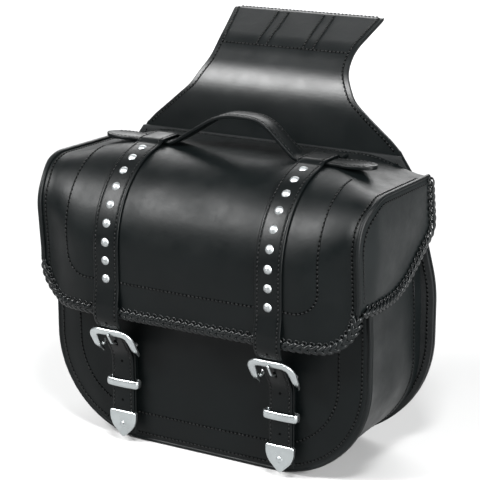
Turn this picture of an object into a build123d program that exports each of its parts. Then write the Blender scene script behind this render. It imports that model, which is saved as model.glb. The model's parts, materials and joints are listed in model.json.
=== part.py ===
from build123d import *
import math
import os

# Leather motorcycle saddlebag with a lid, two buckled straps, a carrying handle and a
# mounting yoke.  Millimetres, +Z up, +X to the right, the front faces -Y.  The origin is
# the centre of the footprint on the ground.

# ---------------------------------------------------------------- driving dimensions
# layers from the front to the back of the bag
FRONT_Y = -94.0             # outer face of the front panel
BACK_Y = 40.0               # front face of the back panel
FRONT_LEATHER = 3.2
LINING = 1.0
WELT_DEPTH = 4.5
BACK_LEATHER = 3.3
BOARD = 3.4

# front outline, a rounded D standing on its flat bottom
BAG_HALF_WIDTH = 196.0
MOUTH_HALF_WIDTH = 190.0
BAG_CORNER_RADIUS = 112.0
BAG_FOOT_Z = 1.0
SHOULDER_Z = 165.0
MOUTH_Z = 270.0
WELT_STANDOUT = 1.0
WELT_HEIGHT = 7.0
GUSSET_INSET = 1.5
GUSSET_LEATHER = 3.0

# back outline, wider than the front and rising into the yoke
BACK_HALF_WIDTH = 208.0
BACK_CORNER_RADIUS = 130.0
BACK_SHOULDER_Z = 190.0
BACK_NECK_HALF_WIDTH = 178.0
BACK_NECK_Z = 308.0
BACK_TOP_HALF_WIDTH = 163.0
BACK_TOP_Z = 330.0

# lid: the profile over the middle, and the squarer profile at both ends
LID_SKIN = 3.2
LID_HALF_FLAT = 125.0       # the middle profile runs this far each side
LID_HALF_WIDTH = 198.3
LID_MIDDLE = [(40.0, 329.5), (-133.0, 329.5), (-132.0, 215.0), (-131.0, 150.0)]
LID_MIDDLE_RADII = [96.0, 200.0]
LID_END = [(40.0, 313.0), (-125.0, 317.0), (-116.5, 215.0), (-118.0, 150.0)]
LID_END_RADII = [50.0, 60.0]
LID_FOOT_Z = 159.0
LID_CORNER_RADIUS = 44.0
BRAID_WIDTH = 8.0
BRAID_STANDOUT = 1.4
WING_LEATHER = 3.0
WING_EDGE = [(-116.8, 201.0), (-35.0, 200.0), (48.0, 254.0), (38.0, 313.05)]
WING_EDGE_RADII = [110.0, 18.0]
WING_REAR_Y = 36.0
PIPING = 2.2

# hinges
LID_AXIS_Y = 18.0
LID_AXIS_Z = 328.0
HINGE_GAP = 1.5
YOKE_AXIS_Y = 48.35
YOKE_AXIS_Z = 331.6

# yoke
YOKE_PATH = [(48.35, 333.4), (47.6, 390.0), (84.0, 430.0), (139.0, 460.0), (149.0, 455.0)]
YOKE_RADII = [70.0, 90.0, 5.0]
YOKE_OUTLINE = [(161.0, 333.0), (150.0, 344.0), (104.0, 382.0), (87.0, 410.0), (86.0, 430.0),
                (100.0, 470.0)]
YOKE_OUTLINE_RADII = [40.0, 40.0, 34.0, 44.0]
YOKE_FACE = 1.9
YOKE_BACKING = 1.6
PATCH_THICKNESS = 1.8
PATCH_WIDTH = 46.0
PATCH_PITCH = 59.0
PATCH_SPAN = (0.3, 0.86)    # from the last bend to the curl

# straps
STRAP_X = 100.0
STRAP_THICKNESS = 3.0
STRAP_HALF_WIDTH = 15.8
TAIL_HALF_WIDTH = 14.0
STRAP_END_Z = 172.5         # the part sewn to the lid ends here
STRAP_PIVOT_Y = -136.4
STRAP_PIVOT_Z = 171.0
TAIL_PATH = [(-134.9, 169.5), (-134.9, 154.0), (-103.3, 104.0), (-103.3, 8.0)]
TAIL_RADII = [18.0, 30.0]
STUD_COUNT = 9
STUD_PITCH = 20.3
STUD_FIRST = 98.5           # along the lid profile from its rear end
STUD_RADIUS = 5.0
STUD_HEIGHT = 2.4
SHANK_RADIUS = 1.5
BRIDGE_PATH = [(6.0, 329.55), (-3.0, 329.55), (-8.5, 334.2), (-39.5, 334.2), (-47.0, 329.4),
               (-51.0, 328.75)]
BRIDGE_RADII = [3.0, 3.0, 3.0, 6.0]

# buckle, measured in the plane of the slanted part of the tail
BUCKLE_Z = 123.0
FRAME_NEAR = 3.3
FRAME_FAR = 7.6
FRAME_OUTER = [(-25.0, -19.0), (-28.0, -4.0), (-27.5, 24.0), (27.5, 24.0), (28.0, -4.0),
               (25.0, -19.0)]
FRAME_OUTER_RADII = [10.0, 13.0, 13.0, 10.0]
FRAME_INNER = [(20.5, -14.0), (20.5, -2.0), (19.5, 15.0), (-19.5, 15.0), (-20.5, -2.0),
               (-20.5, -14.0)]
FRAME_INNER_RADII = [8.0, 6.5, 6.5, 8.0]
BAR_V = -8.0
BAR_W = -4.4
BAR_RADIUS = 1.5
BAR_HALF_LENGTH = 21.0
LUG_X = 20.4
PRONG_RADIUS = 1.3
PRONG_PATH = [(-8.0, -4.4), (5.6, 9.1), (19.5, 9.1)]
CHAPE = 2.6
CHAPE_HALF_WIDTH = 15.0

# keeper, tip and the hidden magnetic snap
KEEPER_Z = 70.5
KEEPER_HEIGHT = 9.0
KEEPER_WALL = 1.6
KEEPER_HALF_WIDTH = 20.5
TIP_OUTLINE = [(-17.3, 37.0), (-16.6, 21.0), (0.0, 5.0), (16.6, 21.0), (17.3, 37.0)]
TIP_RADII = [2.5, 22.0, 4.0, 22.0, 2.5]
TAIL_END = [(-14.0, 23.0), (0.0, 9.5), (14.0, 23.0)]
TIP_WALL = 1.3
TIP_RIVET_Z = 21.0
SNAP_Z = 92.0
SNAP_RADIUS = 9.0
PAD = 2.5
POST = 1.5
NUB_HEIGHT = 1.4
NUB_BASE = 3.0
NUB_TOP = 1.6
CAP = 2.5
CAP_HOLE = 3.3

# handle
HANDLE_Y = -24.0
HANDLE_HALF_WIDTH = 13.0
HANDLE_THICKNESS = 4.0
HANDLE_PATH = [(-168.0, 330.2), (-76.5, 329.8), (-24.0, 368.5), (24.0, 368.5), (76.5, 329.8),
               (168.0, 330.2)]
HANDLE_RADII = [22.0, 55.0, 55.0, 22.0]
GRIP_HALF_LENGTH = 61.5
GRIP_GAP = 1.0
LEAF_CENTRE = 142.0


# the parts are drawn with the bag's own depth scale, then moved so that the origin is
# midway between the front studs and the tip of the yoke
CENTRING = -6.0


# ---------------------------------------------------------------- outline helpers
def shifted(points, radii, amount):
    """Points and corner radii of an open path moved to its left by amount."""
    normals = []
    for (ax, ay), (bx, by) in zip(points, points[1:]):
        length = math.hypot(bx - ax, by - ay)
        normals.append(((ay - by) / length, (bx - ax) / length))
    moved = [(points[0][0] + amount * normals[0][0], points[0][1] + amount * normals[0][1])]
    new_radii = []
    for point, before, after, radius in zip(points[1:], normals, normals[1:], radii):
        scale = amount / (1.0 + before[0] * after[0] + before[1] * after[1])
        moved.append((point[0] + scale * (before[0] + after[0]),
                      point[1] + scale * (before[1] + after[1])))
        turn = before[0] * after[1] - before[1] * after[0]
        new_radii.append(radius - math.copysign(1.0, turn) * amount)
    moved.append((points[-1][0] + amount * normals[-1][0],
                  points[-1][1] + amount * normals[-1][1]))
    return moved, new_radii


def path_wire(points, radii, amount=0.0):
    """The filleted path, moved to its left by amount."""
    moved, new_radii = shifted(points, radii, amount)
    if len(moved) == 2:
        return Line(*moved)
    return FilletPolyline(*moved, radius=new_radii)


def ribbon(points, radii, near, far):
    """Face between two parallel copies of a path."""
    first = path_wire(points, radii, near)
    second = path_wire(points, radii, far)
    ends = [Line(first @ 0, second @ 0), Line(first @ 1, second @ 1)]
    return make_face([*first.edges(), *second.edges(), *[end.edge() for end in ends]])


def closed_face(points, radii):
    """Face inside a closed polygon with rounded corners."""
    return make_face(FilletPolyline(*points, radius=radii, close=True).edges())


def under_path(points, radii, amount=0.0):
    """Face closed by a straight line from the end of a path back to its start."""
    wire = path_wire(points, radii, amount)
    return make_face([*wire.edges(), Line(wire @ 1, wire @ 0).edge()])


def along_x(face, start, end):
    """Solid of a (y, z) face from x = start to x = end."""
    return extrude(Plane.YZ.offset(start) * face, amount=end - start)


def along_y(face, start, end):
    """Solid of an (x, z) face from y = start to y = end."""
    return extrude(Plane.XZ.offset(-end) * face, amount=end - start)


def along_z(face, start, end):
    """Solid of an (x, y) face from z = start to z = end."""
    return extrude(Plane.XY.offset(start) * face, amount=end - start)


def block(x0, x1, y0, y1, z0, z1):
    """Box between two corners."""
    centre = ((x0 + x1) / 2, (y0 + y1) / 2, (z0 + z1) / 2)
    return Pos(*centre) * Box(x1 - x0, y1 - y0, z1 - z0)


def mirrored(points):
    """Left half of an outline listed bottom to top, then the right half back down."""
    left = [(-x, z) for x, z in reversed(points)]
    return left + points


# ---------------------------------------------------------------- bag body
def front_path():
    """Left side down, along the bottom and up the right side of the front outline."""
    right = [(BAG_HALF_WIDTH, BAG_FOOT_Z), (BAG_HALF_WIDTH, SHOULDER_Z), (MOUTH_HALF_WIDTH, MOUTH_Z)]
    return mirrored(right), [60.0, BAG_CORNER_RADIUS, BAG_CORNER_RADIUS, 60.0]


def back_path():
    """The same route round the wider back outline."""
    right = [(BACK_HALF_WIDTH, 0.0), (BACK_HALF_WIDTH, BACK_SHOULDER_Z),
             (BACK_NECK_HALF_WIDTH, BACK_NECK_Z), (BACK_TOP_HALF_WIDTH, BACK_TOP_Z)]
    radii = [24.0, 150.0, BACK_CORNER_RADIUS]
    return mirrored(right), radii + radii[::-1]


def make_body():
    """Panels, gusset, welt and linings of the bag itself."""
    points, radii = front_path()
    inside_y = FRONT_Y + FRONT_LEATHER
    welt_end = inside_y + WELT_DEPTH
    inset = GUSSET_INSET + GUSSET_LEATHER
    parts = {}
    parts["front_panel"] = along_y(under_path(points, radii), FRONT_Y, inside_y)
    lining_face = under_path(points, radii, WELT_HEIGHT)
    parts["front_lining"] = along_y(lining_face, inside_y, inside_y + LINING)
    parts["front_welt"] = along_y(ribbon(points, radii, -WELT_STANDOUT, WELT_HEIGHT - WELT_STANDOUT),
                                  inside_y, welt_end)
    parts["gusset"] = along_y(ribbon(points, radii, GUSSET_INSET, inset), welt_end, BACK_Y)
    parts["rear_seam_tape"] = along_y(ribbon(points, radii, inset, inset + 2.0),
                                      BACK_Y - 14.0, BACK_Y)
    parts["mouth_binding"] = block(-MOUTH_HALF_WIDTH, MOUTH_HALF_WIDTH, FRONT_Y - 1.0,
                                   inside_y + LINING + 1.0, MOUTH_Z, MOUTH_Z + 5.0)
    points, radii = back_path()
    layer = BACK_Y
    outline = under_path(points, radii)
    board_outline = under_path(points, radii, 8.0)
    for name, face, thickness in (("back_inner_leather", outline, BACK_LEATHER),
                                  ("back_board", board_outline, BOARD),
                                  ("back_outer_leather", outline, BACK_LEATHER)):
        parts[name] = along_y(face, layer, layer + thickness)
        layer += thickness
    rim = outline - board_outline
    parts["back_edge_filler"] = along_y(rim, BACK_Y + BACK_LEATHER, BACK_Y + BACK_LEATHER + BOARD)
    return parts


# ---------------------------------------------------------------- yoke
def make_yoke():
    """Two sewn layers that rise from the back panel, with hook-and-loop patches."""
    half = path_wire(YOKE_OUTLINE, YOKE_OUTLINE_RADII)
    other = path_wire([(-x, z) for x, z in YOKE_OUTLINE], YOKE_OUTLINE_RADII)
    closing = [Line(half @ 0, other @ 0).edge(), Line(half @ 1, other @ 1).edge()]
    face = make_face([*half.edges(), *other.edges(), *closing])
    prism = along_y(face, 0.0, 200.0)
    parts = {}
    for name, near, far in (("yoke_leather", 0.0, YOKE_FACE), ("yoke_backing", -YOKE_BACKING, 0.0)):
        sheet = along_x(ribbon(YOKE_PATH, YOKE_RADII, near, far), -170.0, 170.0)
        parts[name] = sheet & prism
    (y0, z0), (y1, z1) = YOKE_PATH[2:4]
    patch_path = [(y0 + part * (y1 - y0), z0 + part * (z1 - z0)) for part in PATCH_SPAN]
    strip = ribbon(patch_path, [], -YOKE_BACKING - PATCH_THICKNESS, -YOKE_BACKING)
    patches = []
    for index in (-1, 0, 1):
        start = index * PATCH_PITCH - PATCH_WIDTH / 2
        patches.append(along_x(strip, start, start + PATCH_WIDTH).solid())
    parts["yoke_hook_patches"] = Compound(patches)
    return parts


# ---------------------------------------------------------------- lid
def lid_shell(near, far):
    """Shell over the middle profile, drawn in to the end profile at both sides."""
    middle = ribbon(LID_MIDDLE, LID_MIDDLE_RADII, near, far)
    end = ribbon(LID_END, LID_END_RADII, near, far)
    shell = along_x(middle, -LID_HALF_FLAT, LID_HALF_FLAT)
    for side in (-1, 1):
        sections = [Plane.YZ.offset(side * LID_HALF_FLAT) * middle,
                    Plane.YZ.offset(side * LID_HALF_WIDTH) * end]
        shell += loft(sections, ruled=True)
    return shell


def lid_front_prism(amount, half_width=LID_HALF_WIDTH):
    """Everything above the lid's rounded lower edge, drawn in by amount."""
    right = [(half_width, LID_FOOT_Z), (half_width, 400.0)]
    points, radii = shifted(mirrored(right), [LID_CORNER_RADIUS] * 2, amount)
    points = [(max(-half_width, min(half_width, x)), z) for x, z in points]
    return along_y(under_path(points, radii), -160.0, LID_AXIS_Y - HINGE_GAP)


def wing_parts(side):
    """Side wing of the lid, its braided edge and the piping on its seam."""
    inner = LID_HALF_WIDTH
    outer = inner + WING_LEATHER
    (y0, z0), (y1, z1) = LID_END[:2]
    rear = (WING_REAR_Y, z0 + (y0 - WING_REAR_Y) * (z1 - z0) / (y0 - y1))
    points = [rear, *LID_END[1:3], *WING_EDGE[:-1]]
    radii = [6.0, *LID_END_RADII, 3.0, WING_EDGE_RADII[0], WING_EDGE_RADII[1]]
    outline = closed_face(points, radii)
    braid_face = outline & ribbon(WING_EDGE, WING_EDGE_RADII, -3.0, BRAID_WIDTH)
    plate_face = outline - ribbon(WING_EDGE, WING_EDGE_RADII, -3.0, BRAID_WIDTH)
    piping_face = ribbon(LID_END, LID_END_RADII, -PIPING, 0.0)
    limit = block(-250.0, 250.0, -160.0, LID_AXIS_Y - HINGE_GAP, 206.0, 360.0)
    spans = {"lid_wing": (plate_face, inner, outer),
             "wing_braid": (braid_face, inner, outer + BRAID_STANDOUT),
             "lid_piping": (piping_face, inner, outer)}
    parts = {}
    for name, (face, start, end) in spans.items():
        solid = along_x(face, start, end) if side > 0 else along_x(face, -end, -start)
        parts[name] = solid & limit if name == "lid_piping" else solid
    return parts


def make_lid():
    """Lid leather, lining, braided lower edge, and the fixed strip it hinges on."""
    skin = lid_shell(0.0, LID_SKIN)
    upper = lid_front_prism(BRAID_WIDTH)
    parts = {}
    panel = skin & upper
    for side in (-1, 1):
        for stud in stud_places(side):
            panel -= stud * Pos(0, 0, -5.0) * Cylinder(SHANK_RADIUS, 14.0)
    parts["lid_main_panel"] = panel
    lining = lid_shell(LID_SKIN, LID_SKIN + LINING) & lid_front_prism(BRAID_WIDTH + 6.0, 190.0)
    parts["lid_lining"] = lining
    band = lid_shell(-BRAID_STANDOUT, LID_SKIN + BRAID_STANDOUT)
    parts["front_braid"] = band & (lid_front_prism(0.0) - upper)
    strip_limit = block(-190.0, 190.0, LID_AXIS_Y + HINGE_GAP, BACK_Y, 300.0, 340.0)
    parts["lid_hinge_strip"] = skin & strip_limit
    return parts


# ---------------------------------------------------------------- straps
def stud_places(side):
    """Locations on the lid surface, z outward, one for each stud."""
    wire = path_wire(LID_MIDDLE, LID_MIDDLE_RADII)
    places = []
    for index in range(STUD_COUNT):
        distance = STUD_FIRST + index * STUD_PITCH
        point = wire.position_at(distance, position_mode=PositionMode.LENGTH)
        tangent = wire.tangent_at(distance, position_mode=PositionMode.LENGTH)
        normal = (0.0, tangent.Y, -tangent.X)
        origin = (side * STRAP_X, point.X, point.Y)
        places.append(Plane(origin=origin, x_dir=(1, 0, 0), z_dir=normal).location)
    return places


def make_studs(side):
    """Low domed studs with shanks through strap and lid."""
    studs = []
    sphere_radius = (STUD_RADIUS ** 2 + STUD_HEIGHT ** 2) / (2 * STUD_HEIGHT)
    ball = Pos(0, 0, STUD_HEIGHT - sphere_radius) * Sphere(sphere_radius)
    dome = ball & Pos(0, 0, 5.0) * Box(20.0, 20.0, 10.0)
    shank_length = STRAP_THICKNESS + LID_SKIN
    shank = Pos(0, 0, -shank_length / 2) * Cylinder(SHANK_RADIUS, shank_length)
    for place in stud_places(side):
        stud = dome + shank
        studs.append((place * Pos(0, 0, STRAP_THICKNESS) * stud).solid())
    return Compound(studs)


def buckle_plane(side):
    """Plane on the back of the slanted tail: x across, y up the strap, z outward."""
    (y0, z0), (y1, z1) = TAIL_PATH[1:3]
    length = math.hypot(y1 - y0, z1 - z0)
    up = ((y0 - y1) / length, (z0 - z1) / length)
    y = y0 + (y1 - y0) * (z0 - BUCKLE_Z) / (z0 - z1)
    return Plane(origin=(side * STRAP_X, y, BUCKLE_Z), x_dir=(1, 0, 0), z_dir=(0, -up[1], up[0]))


def strap_upper(side):
    """Strap sewn to the lid, with the raised bridge over the handle."""
    x0 = side * STRAP_X - STRAP_HALF_WIDTH
    x1 = side * STRAP_X + STRAP_HALF_WIDTH
    limit = block(x0, x1, -160.0, BRIDGE_PATH[-2][0] - 1.0, STRAP_END_Z, 360.0)
    band = along_x(ribbon(LID_MIDDLE, LID_MIDDLE_RADII, -STRAP_THICKNESS, 0.0), x0, x1) & limit
    band += along_x(ribbon(BRIDGE_PATH, BRIDGE_RADII, -STRAP_THICKNESS, 0.0), x0, x1)
    for stud in stud_places(side):
        band -= stud * Cylinder(SHANK_RADIUS, 12.0)
    return band


def strap_lower(side):
    """Free end of the strap: over the braid, through the buckle and down to its tip."""
    x = side * STRAP_X
    top_z = TAIL_PATH[0][1] + 1.0
    outline = [(x - STRAP_HALF_WIDTH, top_z), (x - STRAP_HALF_WIDTH, 150.0),
               (x - TAIL_HALF_WIDTH, 137.0)]
    outline += [(x + end_x, z) for end_x, z in TAIL_END]
    outline += [(x + TAIL_HALF_WIDTH, 137.0), (x + STRAP_HALF_WIDTH, 150.0),
                (x + STRAP_HALF_WIDTH, top_z)]
    face = make_face(Polyline(*outline, close=True).edges())
    sheet = along_x(ribbon(TAIL_PATH, TAIL_RADII, -STRAP_THICKNESS, 0.0),
                    x - STRAP_HALF_WIDTH, x + STRAP_HALF_WIDTH)
    tail = sheet & along_y(face, -150.0, -90.0)
    slot = buckle_plane(side).location * Pos(0, -2.0, 1.5) * Box(3.6, 11.0, 8.0)
    tail -= slot
    for z in (150.0, 96.0, 50.0):
        tail -= Pos(x, -120.0, z) * Rot(90, 0, 0) * Cylinder(1.3, 60.0)
    return tail - tip_rivet(side)


def chape(side):
    """Short strap behind the tail, folded round the buckle bar."""
    x = side * STRAP_X
    gap = 0.2
    x0 = x - CHAPE_HALF_WIDTH
    x1 = x + CHAPE_HALF_WIDTH
    place = buckle_plane(side).location
    path = TAIL_PATH[1:3] + [(TAIL_PATH[3][0], 12.0)]
    path[0] = (place.position.Y + 0.5339 * -BAR_V * 1.0, place.position.Z + 0.8455 * BAR_V)
    front = along_x(ribbon(path, [TAIL_RADII[1]], gap, gap + CHAPE), x0, x1)
    fold_radius = -BAR_W - gap
    inner_radius = fold_radius - CHAPE
    bar_place = place * Pos(0, BAR_V, BAR_W) * Rot(0, 90, 0)
    ring = Cylinder(fold_radius, x1 - x0) - Cylinder(inner_radius, 2 * (x1 - x0))
    upper_half = place * Pos(0, BAR_V + 10.0, BAR_W) * Box(80.0, 20.0, 20.0)
    fold = (bar_place * ring) & upper_half
    back_w = BAR_W - (fold_radius + inner_radius) / 2
    back = place * Pos(0, BAR_V - 5.5, back_w) * Box(x1 - x0, 11.0, CHAPE)
    strip = front + fold + back
    strip -= place * Pos(0, BAR_V + 1.0, BAR_W) * Box(4.4, 12.0, 14.0)
    return strip - Pos(x, -101.5, TIP_RIVET_Z) * Rot(90, 0, 0) * Cylinder(2.5, 6.0)


def buckle_frame(side):
    """Horseshoe frame with two lugs behind it that hold the bar."""
    outer = path_wire(FRAME_OUTER, FRAME_OUTER_RADII)
    inner = path_wire(FRAME_INNER, FRAME_INNER_RADII)
    legs = [Line(outer @ 1, inner @ 0).edge(), Line(inner @ 1, outer @ 0).edge()]
    face = make_face([*outer.edges(), *inner.edges(), *legs])
    frame = extrude(Plane.XY.offset(FRAME_NEAR) * face, amount=FRAME_FAR - FRAME_NEAR)
    rim = frame.faces().sort_by(Axis.Z)[-1].edges()
    frame = chamfer(rim, 1.2)
    for hand in (-1, 1):
        lug_centre = (hand * LUG_X, BAR_V, (BAR_W - 2.4 + FRAME_NEAR + 0.5) / 2)
        frame += Pos(*lug_centre) * Box(5.2, 5.0, FRAME_NEAR + 0.5 - BAR_W + 2.4)
    frame -= Pos(0, BAR_V, BAR_W) * Rot(0, 90, 0) * Cylinder(BAR_RADIUS, 2 * BAR_HALF_LENGTH)
    return buckle_plane(side).location * frame


def buckle_bar(side):
    """Steel bar between the lugs."""
    bar = Pos(0, BAR_V, BAR_W) * Rot(0, 90, 0) * Cylinder(BAR_RADIUS, 2 * BAR_HALF_LENGTH)
    return buckle_plane(side).location * bar


def prong(side):
    """Prong hung on the bar, through the strap and over the arch."""
    wire = FilletPolyline(*[(0.0, v, w) for v, w in PRONG_PATH], radius=6.0)
    start = Plane(origin=wire @ 0, z_dir=wire % 0)
    rod = sweep(start * Circle(PRONG_RADIUS), path=wire)
    rod += Pos(0, *PRONG_PATH[-1]) * Sphere(PRONG_RADIUS)
    eye = Cylinder(BAR_RADIUS + 1.7, 3.4)
    eye_place = Pos(0, BAR_V, BAR_W) * Rot(0, 90, 0)
    tongue = rod + eye_place * eye
    tongue -= eye_place * Cylinder(BAR_RADIUS + 0.05, 8.0)
    return buckle_plane(side).location * tongue


def keeper(side):
    """Flat metal loop round tail and chape."""
    x = side * STRAP_X
    back = TAIL_PATH[3][0] + 0.2 + CHAPE + 0.3
    front = TAIL_PATH[3][0] - STRAP_THICKNESS - 0.3
    z0 = KEEPER_Z - KEEPER_HEIGHT / 2
    z1 = KEEPER_Z + KEEPER_HEIGHT / 2
    loop = block(x - KEEPER_HALF_WIDTH, x + KEEPER_HALF_WIDTH, front - KEEPER_WALL,
                 back + KEEPER_WALL, z0, z1)
    loop = fillet(loop.edges().filter_by(Axis.Z), 1.5)
    return loop - block(x - 17.0, x + 17.0, front, back, z0 - 1.0, z1 + 1.0)


def tip_rivet(side):
    """Domed rivet that holds the tip."""
    face_y = TAIL_PATH[3][0] - STRAP_THICKNESS - TIP_WALL
    radius = 3.6
    height = 1.5
    sphere_radius = (radius ** 2 + height ** 2) / (2 * height)
    dome = Pos(0, 0, height - sphere_radius) * Sphere(sphere_radius) & Pos(0, 0, 2.5) * Box(9, 9, 5)
    shank_length = STRAP_THICKNESS + TIP_WALL
    shank = Pos(0, 0, -shank_length / 2) * Cylinder(1.2, shank_length)
    place = Plane(origin=(side * STRAP_X, face_y, TIP_RIVET_Z), x_dir=(1, 0, 0), z_dir=(0, -1, 0))
    return place.location * (dome + shank)


def strap_tip(side):
    """Pointed metal shield closed round the end of the tail."""
    x = side * STRAP_X
    face = closed_face([(x + tip_x, z) for tip_x, z in TIP_OUTLINE], TIP_RADII)
    front = TAIL_PATH[3][0] - STRAP_THICKNESS - TIP_WALL
    shield = along_y(face, front, TAIL_PATH[3][0])
    shield = chamfer(shield.faces().sort_by(Axis.Y)[0].edges(), 0.6)
    pocket = [(-14.2, 60.0), (-14.2, 22.8), (0.0, 9.2), (14.2, 22.8), (14.2, 60.0)]
    pocket_face = make_face(Polyline(*[(x + px, z) for px, z in pocket], close=True).edges())
    shield -= along_y(pocket_face, TAIL_PATH[3][0] - STRAP_THICKNESS, -90.0)
    return shield - tip_rivet(side)


def disc(side, near, far, radius):
    """Round plate in front of the front panel at the snap's height."""
    return Pos(side * STRAP_X, (near + far) / 2, SNAP_Z) * Rot(90, 0, 0) * Cylinder(radius, far - near)


def snap_parts(side):
    """Leather pad and magnet post on the bag, magnet cap on the chape."""
    x = side * STRAP_X
    pad_y = FRONT_Y - PAD
    post_y = pad_y - POST
    pad = along_y(closed_face([(x - 13, 74), (x - 13, 106), (x + 13, 106), (x + 13, 74)], [4.0] * 4),
                  pad_y, FRONT_Y)
    post = disc(side, post_y, pad_y, SNAP_RADIUS)
    nub = Pos(x, post_y - NUB_HEIGHT / 2, SNAP_Z) * Rot(90, 0, 0) * Cone(NUB_BASE, NUB_TOP, NUB_HEIGHT)
    cap = disc(side, post_y - CAP, post_y, SNAP_RADIUS)
    cap -= disc(side, post_y - NUB_HEIGHT - 0.2, post_y, CAP_HOLE)
    return {"snap_pad": pad, "magnet_post": post + nub, "magnet_cap": cap}


# ---------------------------------------------------------------- handle
def make_handle():
    """Arched grip and the two ends that pass under the straps."""
    band = along_y(ribbon(HANDLE_PATH, HANDLE_RADII, 0.0, HANDLE_THICKNESS),
                   HANDLE_Y - 20.0, HANDLE_Y + 20.0)
    strip = Pos(0, HANDLE_Y) * Rectangle(2 * LEAF_CENTRE, 2 * HANDLE_HALF_WIDTH)
    for side in (-1, 1):
        strip += Pos(side * LEAF_CENTRE, HANDLE_Y) * Ellipse(26.0, 15.5)
    band &= along_z(strip, 320.0, 400.0)
    inner = GRIP_HALF_LENGTH + GRIP_GAP
    parts = {"handle_grip": band & block(-GRIP_HALF_LENGTH, GRIP_HALF_LENGTH, -60, 20, 320, 400)}
    for side, name in SIDES:
        ends = sorted((side * inner, side * 180.0))
        parts["handle_end" + name] = band & block(*ends, -60, 20, 320, 400)
    return parts


# ---------------------------------------------------------------- assembly
SIDES = ((-1, "_left"), (1, "_right"))


def make_parts():
    """Every node of the saddlebag by name."""
    parts = {**make_body(), **make_yoke(), **make_lid(), **make_handle()}
    for side, name in SIDES:
        parts["strap_upper" + name] = strap_upper(side)
        parts["strap_lower" + name] = strap_lower(side)
        parts["studs" + name] = make_studs(side)
        parts["chape" + name] = chape(side)
        parts["buckle_frame" + name] = buckle_frame(side)
        parts["buckle_bar" + name] = buckle_bar(side)
        parts["prong" + name] = prong(side)
        parts["keeper" + name] = keeper(side)
        parts["strap_tip" + name] = strap_tip(side)
        parts["tip_rivet" + name] = tip_rivet(side)
        for group in (wing_parts(side), snap_parts(side)):
            for node, solid in group.items():
                parts[node + name] = solid
    return parts


os.makedirs("parts", exist_ok=True)
for node_name, node_shape in make_parts().items():
    export_step(Pos(0, CENTRING, 0) * node_shape, f"parts/{node_name}.step")
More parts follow.
